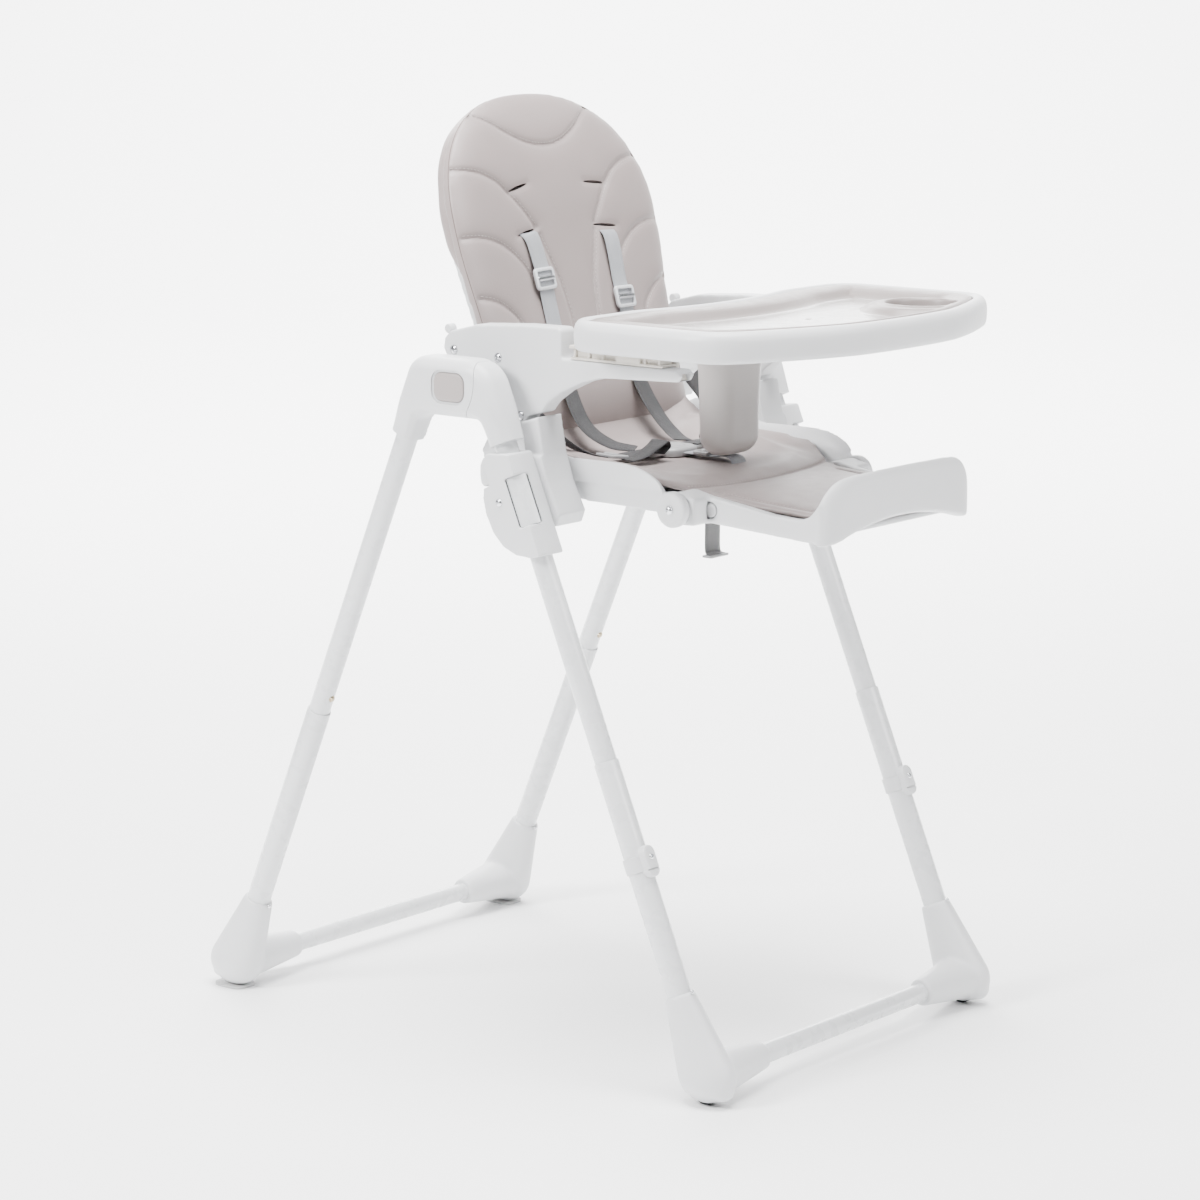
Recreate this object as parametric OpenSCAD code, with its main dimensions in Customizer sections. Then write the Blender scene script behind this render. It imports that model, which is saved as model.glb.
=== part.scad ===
// Folding baby high chair: A-frame legs, height-sliding seat, reclining back,
// folding footrest, sliding tray with a lift-out liner.
// Origin on the ground under the middle of the chair. The chair faces -Y, +Z is up.
// "r" parts stand on the child's right (-X), "l" parts on the left (+X).

/* [Legs] */
// Distance from the middle of the chair to the middle of a leg
leg_x = 245; // [238:1:252]
// Lean of the front legs from vertical, in degrees
front_lean = 22.9; // [21:0.1:24]
// Lean of the rear legs from vertical, in degrees
rear_lean = 23; // [21:0.1:24]
// Outer diameter of the upper tubes
upper_d = 25; // [22:0.5:26]
// Outer diameter of the lower tubes
lower_d = 28; // [27:0.5:30]
// Outer diameter of the two crossbars
bar_d = 22; // [18:1:24]
// Radius of the small front wheels
wheel_r = 18; // [14:1:20]
// Thickness of the elbows and of the height carriers, across the chair
elbow_w = 46; // [42:1:50]

/* [Seat] */
// Half the width of the seat bucket at its rim
seat_x = 180; // [170:1:182]
// Lean of the backrest from vertical when it is upright, in degrees
back_lean = 16; // [12:1:20]
// Half the width of the backrest at its widest
back_x = 176; // [165:1:180]
// Height of the backrest above the seat line, along its own plane
back_h = 402; // [380:1:410]
// Half the width of the footrest
rest_x = 140; // [125:1:145]

/* [Tray] */
// Half the width of the tray
tray_x = 260; // [240:1:262]
// Height of the underside of the tray rim
tray_z = 808; // [806:1:812]
// Height of the tray rim
tray_h = 34; // [28:1:38]

/* [Fits] */
// Radial running clearance of pins and shafts
run = 0.05; // [0.02:0.01:0.08]
// Gap between pieces that lie against each other
gap = 0.4; // [0.3:0.1:1]

/* [Hidden] */
$fn = 64;

white = [0.93, 0.93, 0.94];
paint = [0.95, 0.95, 0.96];
cream = [0.93, 0.91, 0.87];
taupe = [0.80, 0.76, 0.755];
steel = [0.75, 0.76, 0.78];
brass = [0.72, 0.62, 0.45];
rubber = [0.08, 0.08, 0.09];
webbing = [0.78, 0.79, 0.81];
strap_grey = [0.60, 0.60, 0.60];

// Places on the frame, as [y, z]: the axis of each leg passes through its top point
front_top = [-42, 692.8];
rear_top = [106, 691.3];
pivot = [42, 765];
// Distances down a leg from its top point
joint_s = 362;
shoe_s = 634;
overlap_s = 60;
tube_wall = 1.4;
clip_s = 479;
clip_d = 7;
bar_z = 33;
front_bar_y = -329;
rear_bar_y = 381;
bar_end = 154;
wheel_y = -325;
wheel_w = 12;
pad_h = 3;
rear_pad_y = 400;

// Elbow and fold button
head_r = 48;
tongue_r = 38;
tongue_w = 14;
pivot_r = 5;
button_yz = [24.3, 756.4];
button_size = [44, 32];
button_r = 11;
elbow_out = leg_x + elbow_w / 2;
elbow_in = leg_x - elbow_w / 2;

// Height carrier
carrier_half = 19;
window_w = 25;

// Side panels, arms and seat
panel_out = 212;
panel_in = 187;
arm_top = 792;
seat_floor = 640;
hub = [-217, 633];
hub_r = 20;
hub_in = 166;
hub_out = 178;
lip_r = 38;
rest_button = [-243, 631];
recline_axis = [38, 672];
back_origin = [12.5, 680];
back_cushion_t = 22;
shell_t = 18;
shell_top_t = 9;
wide_s = 250;
shape_power = 2.3;

// Tray
tray_back = -126;
tray_front = -416;
// Corner radii, the curve of the front edge and the hollow for the child's belly
back_r = 46;
corner_r = 72;
front_sag = 44;
front_r = 470;
belly_r = 380;
belly_d = 22;
rim_w = 16;
liner_floor = 830;
cup_xy = [145, -322];
cup_r = 38;
post_y = -162;
post_bottom = 669;

// ---- helpers ----

module both_sides() {
    children();
    mirror([1, 0, 0]) children();
}

// Local frame of a leg on the left side: z runs up the tube, y points to the rear
module on_leg(top, lean) {
    translate([leg_x, top[0], top[1]])
        rotate([lean, 0, 0])
            children();
}

module on_front_leg() {
    on_leg(front_top, -front_lean) children();
}

module on_rear_leg() {
    on_leg(rear_top, rear_lean) children();
}

// A plate from x0 to x1 whose outline is drawn as [y, z]
module plate(x0, x1) {
    translate([x0, 0, 0])
        rotate([90, 0, 90])
            linear_extrude(x1 - x0)
                children();
}

// A round bar along X
module x_bar(r, x0, x1, yz) {
    translate([x0, yz[0], yz[1]])
        rotate([0, 90, 0])
            cylinder(r = r, h = x1 - x0);
}

module rounded_rect(size, r) {
    square([size[0] - 2 * r, size[1]], center = true);
    square([size[0], size[1] - 2 * r], center = true);
    for (sx = [-1, 1], sy = [-1, 1])
        translate([sx * (size[0] / 2 - r), sy * (size[1] / 2 - r)])
            circle(r = r);
}

module pipe(d, wall, z0, z1) {
    difference() {
        translate([0, 0, z0]) cylinder(d = d, h = z1 - z0);
        translate([0, 0, z0 - 1]) cylinder(d = d - 2 * wall, h = z1 - z0 + 2);
    }
}

// ---- legs ----

module upper_tube() {
    color(paint) pipe(upper_d, tube_wall, -joint_s - overlap_s, 34);
}

module lower_tube() {
    color(paint) pipe(lower_d, (lower_d - upper_d) / 2 - run, -shoe_s - 22, -joint_s);
}

module crossbar(y) {
    color(paint)
        difference() {
            x_bar(bar_d / 2, -bar_end - 20, bar_end + 20, [y, bar_z]);
            x_bar(bar_d / 2 - tube_wall, -bar_end - 21, bar_end + 21, [y, bar_z]);
        }
}

// Boot-shaped shoe: leg collar, bulging body, crossbar socket
module shoe_body(body, half, bar_y) {
    hull() {
        children();
        translate([leg_x + 2, body[0], body[1]]) scale(half) sphere(r = 1, $fn = 40);
    }
    hull() {
        translate([leg_x - 10, body[0], body[1]]) scale(half * 0.86) sphere(r = 1, $fn = 32);
        x_bar(bar_d / 2 + 5, bar_end, bar_end + 6, [bar_y, bar_z]);
    }
}

module front_shoe() {
    color(white)
        difference() {
            shoe_body([wheel_y - 1, 32], [25, 38, 31], front_bar_y)
                on_front_leg() translate([0, 0, -shoe_s]) cylinder(d = lower_d + 6, h = 8, $fn = 32);
            translate([0, -500, -50]) cube([400, 400, 50 + pad_h]);
            on_front_leg() translate([0, 0, -shoe_s - 22.2]) cylinder(d = lower_d + 2 * run, h = 60);
            x_bar(bar_d / 2 + run, bar_end - 1, bar_end + 20.2, [front_bar_y, bar_z]);
            // Pocket of the wheel, with its axle bore
            translate([leg_x + 2 - wheel_w / 2 - 1, wheel_y, wheel_r])
                rotate([0, 90, 0]) cylinder(r = wheel_r + 1.5, h = wheel_w + 2);
            translate([leg_x + 2 - wheel_w / 2 - 1, wheel_y - wheel_r - 1.5, -1])
                cube([wheel_w + 2, 2 * wheel_r + 3, wheel_r + 1]);
            x_bar(2.5 + run, leg_x - 16, leg_x + 20, [wheel_y, wheel_r]);
        }
}

module rear_shoe() {
    color(white)
        difference() {
            shoe_body([rear_pad_y - 11, 32], [25, 40, 31], rear_bar_y)
                on_rear_leg() translate([0, 0, -shoe_s]) cylinder(d = lower_d + 6, h = 8, $fn = 32);
            translate([0, 200, -50]) cube([400, 400, 50 + pad_h]);
            on_rear_leg() translate([0, 0, -shoe_s - 22.2]) cylinder(d = lower_d + 2 * run, h = 60);
            x_bar(bar_d / 2 + run, bar_end - 1, bar_end + 20.2, [rear_bar_y, bar_z]);
        }
}

module rear_pads() {
    color(rubber)
        both_sides()
            translate([leg_x + 2, rear_pad_y - 8, 0])
                linear_extrude(pad_h) rounded_rect([34, 46], 12);
}

module front_wheel() {
    color(rubber)
        translate([leg_x + 2 - wheel_w / 2, wheel_y, wheel_r])
            rotate([90, 0, 90])
                rotate_extrude()
                    polygon([
                        [2.5 + run, 0], [wheel_r - 2, 0], [wheel_r, 2],
                        [wheel_r, wheel_w - 2], [wheel_r - 2, wheel_w], [2.5 + run, wheel_w]
                    ]);
}

module wheel_axles() {
    color(steel)
        both_sides() x_bar(2.5, leg_x - 15, leg_x + 19, [wheel_y, wheel_r]);
}

module leg_clips() {
    color(white)
        both_sides()
            on_front_leg()
                difference() {
                    translate([-9.5, -lower_d / 2 - clip_d, -clip_s - 17]) cube([19, 14, 34]);
                    translate([0, 0, -clip_s - 20]) cylinder(d = lower_d + 2 * run, h = 40);
                }
}

module snap_buttons() {
    color(brass)
        both_sides()
            on_rear_leg()
                translate([0, -upper_d / 2, -joint_s + 22])
                    rotate([90, 0, 0]) cylinder(r = 3.2, h = 2.4);
}

// A screw head on the front side of a leg, s down from its top
module leg_screw(s, depth, r) {
    translate([0, -lower_d / 2 - depth, -s]) rotate([90, 0, 0]) cylinder(r = r, h = 1.5);
}

module front_screws() {
    color(steel)
        both_sides()
            on_front_leg() {
                leg_screw(shoe_s - 6, 4.2, 2.5);
                leg_screw(clip_s - 4, clip_d, 3.5);
            }
}

module rear_screws() {
    color(steel)
        both_sides()
            on_rear_leg() leg_screw(shoe_s - 6, 4.2, 2.5);
}

// ---- elbows ----

module front_elbow_outline() {
    polygon([
        [0, 735], [-15, 733], [-24, 722], [-29, 709], [-60, 722], [-64, 745], [-57, 767],
        [-49, 781], [-36, 790], [-18, 794], [0, 794], [-4, 765]
    ]);
}

module rear_elbow_outline() {
    intersection() {
        translate(pivot) circle(r = head_r, $fn = 96);
        translate([-20, 733]) square([140, 61]);
    }
    polygon([[42, 794], [61, 790], [76, 778], [87, 756], [102, 722], [74, 708], [66, 722], [58, 730], [42, 733]]);
}

module front_elbow() {
    color(white)
        difference() {
            union() {
                difference() {
                    union() {
                        plate(elbow_in, elbow_out) front_elbow_outline();
                        on_front_leg() translate([0, 0, 4]) cylinder(r = 17.5, h = 42);
                    }
                    x_bar(head_r + gap, elbow_in - 1, elbow_out + 1, pivot);
                }
                // Tongue between the cheeks of the rear elbow
                plate(leg_x - tongue_w / 2, leg_x + tongue_w / 2) {
                    translate(pivot) circle(r = tongue_r);
                    polygon([[6, 790], [-12, 780], [-12, 748], [8, 738], [30, 745], [30, 785]]);
                }
            }
            x_bar(pivot_r + run, elbow_in - 1, elbow_out + 1, pivot);
            on_front_leg() translate([0, 0, -1]) cylinder(d = upper_d + 2 * run, h = 35.2);
        }
}

module rear_elbow() {
    slot_w = tongue_w + 2;
    color(white)
        difference() {
            union() {
                plate(elbow_in, elbow_out) rear_elbow_outline();
                on_rear_leg() cylinder(r = 17.5, h = 46);
            }
            plate(leg_x - slot_w / 2, leg_x + slot_w / 2) {
                translate(pivot) circle(r = tongue_r + 1);
                translate([pivot[0] - 66, 720]) square([62, 80]);
            }
            x_bar(pivot_r + run, elbow_in - 1, leg_x, pivot);
            x_bar(9, elbow_in - 1, elbow_in + 5, pivot);
            on_rear_leg() translate([0, 0, -1]) cylinder(d = upper_d + 2 * run, h = 35.2);
            // Recess round the fold button, and the hole it moves in
            plate(elbow_out - 2, elbow_out + 1) translate(button_yz) rounded_rect(button_size + [6, 6], 14);
            plate(leg_x + 2, elbow_out) translate(button_yz) rounded_rect(button_size + [1.6, 1.6], button_r + 0.8);
        }
}

module pivot_bolts() {
    color(steel)
        both_sides() {
            x_bar(pivot_r, elbow_in + 4, leg_x + tongue_w / 2, pivot);
            x_bar(8, elbow_in + 1, elbow_in + 4, pivot);
        }
}

module fold_button() {
    color(taupe)
        plate(leg_x + tongue_w / 2 + 6, elbow_out - 0.5)
            translate(button_yz) rounded_rect(button_size, button_r);
}

// ---- height carriers ----

// Outlines in the leg's own frame, as [y, z]
module carrier_outline() {
    polygon([
        [-17, -10], [14, 0], [14, -34.5], [31, -34.5], [36, -44], [39, -62],
        [37, -84], [29, -103], [15, -117], [-4, -126], [-17, -128]
    ]);
}

module lever_outline() {
    polygon([[19.5, -2], [27, -8], [32, -18], [34, -28], [31, -33.5], [19.5, -33.5]]);
}

module height_carrier() {
    color(white)
        on_front_leg()
            difference() {
                plate(-carrier_half, elbow_w / 2) carrier_outline();
                translate([0, 0, -140]) cylinder(d = upper_d + 2 * run, h = 160);
                // Window that shows the tube
                rotate([0, 0, 50])
                    translate([-window_w / 2, -40, -91]) cube([window_w, 36, 57]);
            }
}

module height_lever() {
    color(white)
        on_front_leg()
            plate(2 - carrier_half, elbow_w / 2 - 2) lever_outline();
}

// ---- seat ----

module seat_mount_outline() {
    polygon([[-41.5, 719], [-66, 726.5], [-74, 684], [-84, 655], [-101, 622], [-96, 608], [-60, 605]]);
}

module seat_mount() {
    color(white) {
        plate(seat_x, elbow_in - gap) seat_mount_outline();
        // The foot reaches the carrier below the elbow
        plate(elbow_in - gap, leg_x - carrier_half)
            intersection() {
                seat_mount_outline();
                translate([-150, 600]) square([150, 84]);
            }
    }
}

module side_panel() {
    color(white)
        plate(panel_in, panel_out)
            polygon([
                [80, 790], [79, 802], [70, 811], [30, 821], [-33, 825], [-88, 826], [-92, 822], [-92, arm_top],
                [-252, arm_top], [-258, 786], [-254, 779], [-149, 775], [-121, 768], [-92, 755], [-72, 741],
                [-63, 730], [-42, 724.5], [-38, 712], [-28, 703], [-14, 704], [40, 742], [66, 768]
            ]);
}

module bucket_side_outline() {
    polygon([
        [-209, 638], [-207, 655], [-199, 665], [-186, 672], [-168, 677.5], [-140, 679], [-81, 678],
        [-20, 690], [24, 700], [44, 690], [52, 676], [52, 634], [-170, 627], [-200, 625]
    ]);
}

module seat_bucket() {
    color(white)
        difference() {
            union() {
                plate(-hub_in, hub_in)
                    polygon([[-188, 634], [52, 634], [52, seat_floor], [-188, seat_floor]]);
                both_sides() {
                    plate(hub_in, seat_x - gap) bucket_side_outline();
                    x_bar(hub_r, hub_in, hub_out, hub);
                    plate(hub_in, hub_out) polygon([[-217, 653], [-192, 660], [-192, 628], [-217, 613]]);
                }
            }
            x_bar(4 + run, -hub_in - 3, hub_in + 3, recline_axis);
            x_bar(5 + run, -hub_out - 1, hub_out + 1, hub);
            // Slot of the crotch strap
            translate([-16, -142, 630]) cube([32, 7, 20]);
        }
}

module seat_screw(x, yz) {
    x_bar(5, x, x + 2.5, yz);
}

module seat_screws() {
    color(steel)
        both_sides() {
            for (yz = [[64, 790], [-1, 786], [-33, 724]])
                seat_screw(panel_out, yz);
            seat_screw(hub_out + 1, hub);
            on_front_leg()
                translate([elbow_w / 2, 15, -56]) rotate([0, 90, 0]) cylinder(r = 4.5, h = 2);
        }
}

// ---- footrest ----

module footrest_pins() {
    color(steel)
        both_sides() x_bar(5, rest_x - 8, hub_out + 1, hub);
}

// Front lip of the footrest, a rounded wall with an arched lower edge
module footrest_lip() {
    intersection() {
        plate(-rest_x, rest_x)
            union() {
                translate([-392.5, 668]) circle(r = 9.5);
                polygon([[-402, 668], [-402, 605], [-380, 605], [-380, 618], [-382, 632], [-383, 668]]);
            }
        rotate([90, 0, 0])
            translate([0, 0, 355])
                linear_extrude(55)
                    difference() {
                        union() {
                            translate([-rest_x, 600]) square([2 * rest_x, 40]);
                            translate([-rest_x + lip_r, 600]) square([2 * (rest_x - lip_r), 40 + lip_r]);
                            for (sx = [-1, 1]) translate([sx * (rest_x - lip_r), 640]) circle(r = lip_r);
                        }
                        translate([0, 180]) circle(r = 443, $fn = 180);
                    }
    }
}

module footrest() {
    color(white)
        difference() {
            union() {
                both_sides() {
                    plate(rest_x - 12, rest_x)
                        polygon([[-230, 617], [-230, 647], [-258, 644], [-294, 639], [-330, 634], [-384, 632], [-384, 608]]);
                    x_bar(hub_r - 2, rest_x - 12, hub_in - gap, hub);
                    plate(rest_x - 12, hub_in - gap) polygon([[-217, 615], [-217, 651], [-241, 646], [-241, 616]]);
                }
                plate(-rest_x + 12, rest_x - 12)
                    polygon([[-232, 618], [-232, 626], [-384, 616], [-384, 608]]);
                footrest_lip();
            }
            both_sides() {
                x_bar(5 + run, rest_x - 13, hub_in, hub);
                x_bar(8.5, rest_x - 7, rest_x + 1, rest_button);
            }
        }
}

module footrest_button() {
    color(white) x_bar(8, rest_x - 3.5, rest_x - 0.4, rest_button);
}

// ---- backrest ----

// Local frame of the backrest: z runs up its plane, y points to the rear
module on_back() {
    translate([0, back_origin[0], back_origin[1]])
        rotate([-back_lean, 0, 0])
            children();
}

// Half width of the backrest at height s: a rounded top over a slowly narrowing foot
function back_half(s) =
    s > wide_s
        ? back_x * pow(1 - pow((s - wide_s) / (back_h - wide_s), shape_power), 1 / shape_power)
        : s > 100
            ? back_x - 7 + 7 * cos(180 * (wide_s - s) / (wide_s - 100))
            : back_x - 18 + s / 25;

module back_outline(inset, foot) {
    heights = [foot, 60, 100, 130, 160, 190, 220, 250, 280, 305, 330, 350, 367, 381, 391, 398, 401.4];
    polygon(concat(
        [for (s = heights) [back_half(s) - inset, s - (s > wide_s ? inset * (s - wide_s) / 150 : 0)]],
        [for (i = [len(heights) - 1:-1:0])
            [-back_half(heights[i]) + inset,
             heights[i] - (heights[i] > wide_s ? inset * (heights[i] - wide_s) / 150 : 0)]]
    ));
}

// A slab with the outline of the backrest, from depth y0 to y1
module back_slab(y0, y1, inset, foot) {
    on_back()
        translate([0, y1, 0])
            rotate([90, 0, 0])
                linear_extrude(y1 - y0)
                    back_outline(inset, foot);
}

module backrest_shell() {
    top_back = back_cushion_t + shell_top_t;
    color(white)
        difference() {
            union() {
                back_slab(back_cushion_t + gap, top_back, 6, 12);
                // The lower half is thicker and tapers upwards
                on_back()
                    plate(-148, 148)
                        polygon([
                            [back_cushion_t + gap, -14], [back_cushion_t + shell_t, -14],
                            [back_cushion_t + shell_t, 165], [top_back - 2, 262], [back_cushion_t + gap, 262]
                        ]);
                x_bar(14, -148, 148, recline_axis);
            }
            // Hollow behind the cushion
            back_slab(back_cushion_t, back_cushion_t + 5, 12, 40);
            x_bar(4 + run, -149, 149, recline_axis);
            // Recess of the recline lever
            on_back() translate([-47, top_back - 3, 283]) cube([94, 10, 34]);
        }
}

module recline_rod() {
    color(steel) x_bar(4, -hub_in - 2, hub_in + 2, recline_axis);
}

module recline_lever() {
    color(white)
        on_back()
            translate([0, back_cushion_t + shell_top_t + 9.5, 296])
                rotate([90, 0, 0])
                    linear_extrude(12) rounded_rect([88, 20], 8);
}

// ---- tray ----

module tray_outline(inset) {
    difference() {
        intersection() {
            hull()
                for (sx = [-1, 1]) {
                    translate([sx * (tray_x - back_r), tray_back - back_r]) circle(r = back_r - inset);
                    translate([sx * (tray_x - corner_r), tray_front + front_sag + corner_r])
                        circle(r = corner_r - inset);
                    translate([sx * tray_x / 3, tray_front + front_sag]) circle(r = front_sag - inset);
                }
            translate([0, tray_front + front_r]) circle(r = front_r - inset, $fn = 240);
        }
        translate([0, tray_back + belly_r - belly_d]) circle(r = belly_r + inset, $fn = 240);
    }
}

module tray_base() {
    color(white)
        difference() {
            translate([0, 0, tray_z]) linear_extrude(tray_h) tray_outline(0);
            translate([0, 0, tray_z + 4]) linear_extrude(tray_h) tray_outline(rim_w);
        }
}

module tray_recess() {
    difference() {
        tray_outline(rim_w + 26);
        translate(cup_xy) circle(r = cup_r + 6);
    }
}

module tray_liner() {
    top = tray_z + tray_h - 1;
    color(taupe)
        difference() {
            translate([0, 0, tray_z + 4.5]) linear_extrude(top - tray_z - 4.5) tray_outline(rim_w + gap);
            translate([0, 0, liner_floor]) linear_extrude(30) tray_recess();
            translate([cup_xy[0], cup_xy[1], liner_floor - 5]) cylinder(r = cup_r, h = 30);
            // Hollow underside
            translate([0, 0, tray_z]) linear_extrude(liner_floor - 3 - tray_z)
                difference() {
                    tray_outline(rim_w + 14);
                    translate(cup_xy) circle(r = cup_r + 12);
                }
        }
}

// Cream runners under the tray that sit on the arms and guide it
module tray_runners() {
    color(cream)
        both_sides() {
            translate([panel_in, -232, arm_top + gap]) cube([panel_out - panel_in, 126, tray_z - arm_top - gap]);
            translate([panel_in - 6, -232, 784]) cube([6 - gap, 126, tray_z - 784]);
        }
}

module tray_trigger() {
    color(cream)
        translate([0, tray_front + 62, tray_z - 5.5])
            linear_extrude(5) rounded_rect([90, 22], 8);
}

module crotch_post() {
    color(taupe)
        translate([0, post_y, 0])
            hull() {
                translate([0, 0, tray_z - 2]) linear_extrude(2) rounded_rect([74, 38], 12);
                translate([0, 0, post_bottom + 24])
                    for (sx = [-1, 1]) translate([sx * 17, 0, -8]) sphere(r = 16, $fn = 32);
            }
}

// ---- cushions ----

module backrest_cushion() {
    color(taupe) back_slab(0, back_cushion_t, 0, 14);
}

module seat_cushion() {
    color(taupe)
        plate(-hub_in + 5, hub_in - 5)
            polygon([[-199, seat_floor + gap], [-199, 654], [-60, 655], [4, 652], [4, seat_floor + gap]]);
}

module footrest_cushion() {
    color(taupe)
        plate(-rest_x + 13, rest_x - 13)
            polygon([[-221, 627], [-221, 652], [-350, 639], [-378, 635], [-378, 618]]);
}

// ---- harness ----

module shoulder_straps() {
    color(webbing)
        both_sides()
            on_back() translate([56, -2.2, 40]) cube([25, 1.8, 200]);
}

module strap_adjusters() {
    color(strap_grey)
        both_sides()
            on_back()
                translate([68.5, -2.6, 196])
                    rotate([90, 0, 0])
                        linear_extrude(4) rounded_rect([31, 42], 4);
}

module hip_straps() {
    color(webbing)
        both_sides() translate([40, -92, 655.6]) cube([118, 25, 1.8]);
}

module harness_buckle() {
    color(strap_grey)
        translate([0, -76, 655.6]) linear_extrude(11) rounded_rect([56, 50], 10);
}

module crotch_strap() {
    color(webbing) translate([-12.5, -134, 655.6]) cube([25, 32, 1.8]);
}

module strap_tail() {
    color(strap_grey) {
        translate([-14, -139.5, 552]) cube([28, 1.8, 80]);
        translate([-15, -146, 550]) cube([30, 12, 2]);
    }
}

// ---- nodes ----

on_front_leg() upper_tube();  // front_upper_tube_l
mirror([1, 0, 0]) on_front_leg() upper_tube();  // front_upper_tube_r
on_front_leg() lower_tube();  // front_lower_tube_l
mirror([1, 0, 0]) on_front_leg() lower_tube();  // front_lower_tube_r
on_rear_leg() upper_tube();  // rear_upper_tube_l
mirror([1, 0, 0]) on_rear_leg() upper_tube();  // rear_upper_tube_r
on_rear_leg() lower_tube();  // rear_lower_tube_l
mirror([1, 0, 0]) on_rear_leg() lower_tube();  // rear_lower_tube_r
crossbar(front_bar_y);  // front_crossbar
crossbar(rear_bar_y);  // rear_crossbar
front_shoe();  // front_shoe_l
mirror([1, 0, 0]) front_shoe();  // front_shoe_r
rear_shoe();  // rear_shoe_l
mirror([1, 0, 0]) rear_shoe();  // rear_shoe_r
rear_pads();
front_wheel();  // front_wheel_l
mirror([1, 0, 0]) front_wheel();  // front_wheel_r
wheel_axles();
front_elbow();  // front_elbow_l
mirror([1, 0, 0]) front_elbow();  // front_elbow_r
rear_elbow();  // rear_elbow_l
mirror([1, 0, 0]) rear_elbow();  // rear_elbow_r
pivot_bolts();
fold_button();  // fold_button_l
mirror([1, 0, 0]) fold_button();  // fold_button_r
leg_clips();
snap_buttons();
front_screws();
rear_screws();
height_carrier();  // height_carrier_l
mirror([1, 0, 0]) height_carrier();  // height_carrier_r
height_lever();  // height_lever_l
mirror([1, 0, 0]) height_lever();  // height_lever_r
seat_mount();  // seat_mount_l
mirror([1, 0, 0]) seat_mount();  // seat_mount_r
side_panel();  // side_panel_l
mirror([1, 0, 0]) side_panel();  // side_panel_r
seat_bucket();
seat_screws();
footrest_pins();
footrest();
footrest_button();  // footrest_button_l
mirror([1, 0, 0]) footrest_button();  // footrest_button_r
recline_rod();
backrest_shell();
recline_lever();
tray_base();
tray_liner();
tray_runners();
tray_trigger();
crotch_post();
backrest_cushion();
seat_cushion();
footrest_cushion();
shoulder_straps();
strap_adjusters();
hip_straps();
harness_buckle();
crotch_strap();
strap_tail();
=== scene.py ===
"""Looks of the folding baby high chair: materials, moulded shapes, cushions and harness.

Lengths are in metres. The chair faces -Y, "l" is +X and "r" is -X, as in the CAD model.
"""

import math

import bmesh
import bpy
import numpy as np
from mathutils import Matrix, Vector
from mathutils.bvhtree import BVHTree
from mathutils.kdtree import KDTree


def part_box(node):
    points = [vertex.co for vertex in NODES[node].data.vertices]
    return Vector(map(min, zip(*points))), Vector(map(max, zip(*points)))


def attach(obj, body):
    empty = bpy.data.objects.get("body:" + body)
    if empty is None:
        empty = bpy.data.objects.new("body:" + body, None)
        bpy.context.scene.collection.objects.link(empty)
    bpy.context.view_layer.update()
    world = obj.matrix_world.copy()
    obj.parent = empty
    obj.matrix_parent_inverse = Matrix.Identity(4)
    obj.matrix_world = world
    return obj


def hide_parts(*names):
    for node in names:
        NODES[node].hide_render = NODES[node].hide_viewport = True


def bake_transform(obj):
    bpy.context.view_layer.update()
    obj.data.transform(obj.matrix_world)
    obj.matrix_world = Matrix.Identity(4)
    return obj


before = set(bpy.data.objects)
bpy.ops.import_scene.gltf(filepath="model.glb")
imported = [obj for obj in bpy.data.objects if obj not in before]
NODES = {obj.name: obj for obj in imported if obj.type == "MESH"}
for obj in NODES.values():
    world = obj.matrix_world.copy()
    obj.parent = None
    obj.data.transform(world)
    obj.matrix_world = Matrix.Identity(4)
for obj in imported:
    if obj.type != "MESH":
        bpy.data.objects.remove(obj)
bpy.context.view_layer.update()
MM = 0.001
UP = Vector((0, 0, 1))
SIDES = {"l": 1, "r": -1}

# Places and sizes taken from the frame
LEG_X = (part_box("front_upper_tube_l")[0].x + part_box("front_upper_tube_l")[1].x) / 2
ELBOW_IN, ELBOW_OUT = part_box("front_elbow_l")[0].x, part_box("front_elbow_l")[1].x
PANEL_IN, PANEL_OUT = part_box("side_panel_l")[0].x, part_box("side_panel_l")[1].x
TRAY_LOW, TRAY_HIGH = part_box("tray_base")
LINER_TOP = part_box("tray_liner")[1].z
FRONT_LEAN, REAR_LEAN, BACK_LEAN = (math.radians(a) for a in (-22.9, 23.0, -16.0))
FRONT_TOP, REAR_TOP = Vector((LEG_X, -0.042, 0.6928)), Vector((LEG_X, 0.106, 0.6913))
BACK_FOOT = Vector((0, 0.0125, 0.680))
PIVOT = Vector((LEG_X, 0.042, 0.765))


# ---- meshes ----

def linked(name, mesh):
    """A new object in the scene with this mesh."""
    obj = bpy.data.objects.new(name, mesh)
    bpy.context.scene.collection.objects.link(obj)
    return obj


def new_object(name, verts, faces):
    mesh = bpy.data.meshes.new(name)
    mesh.from_pydata([tuple(v) for v in verts], [], [tuple(f) for f in faces])
    mesh.update()
    return linked(name, mesh)


def from_bmesh(name, bm):
    bmesh.ops.recalc_face_normals(bm, faces=bm.faces)
    mesh = bpy.data.meshes.new(name)
    bm.to_mesh(mesh)
    bm.free()
    return linked(name, mesh)


def faced_out(obj, triangles=False):
    """Turns every face outwards, cut into triangles if asked."""
    bm = bmesh.new()
    bm.from_mesh(obj.data)
    if triangles:
        bmesh.ops.triangulate(bm, faces=bm.faces)
    bmesh.ops.recalc_face_normals(bm, faces=bm.faces)
    bm.to_mesh(obj.data)
    bm.free()
    return obj


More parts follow.
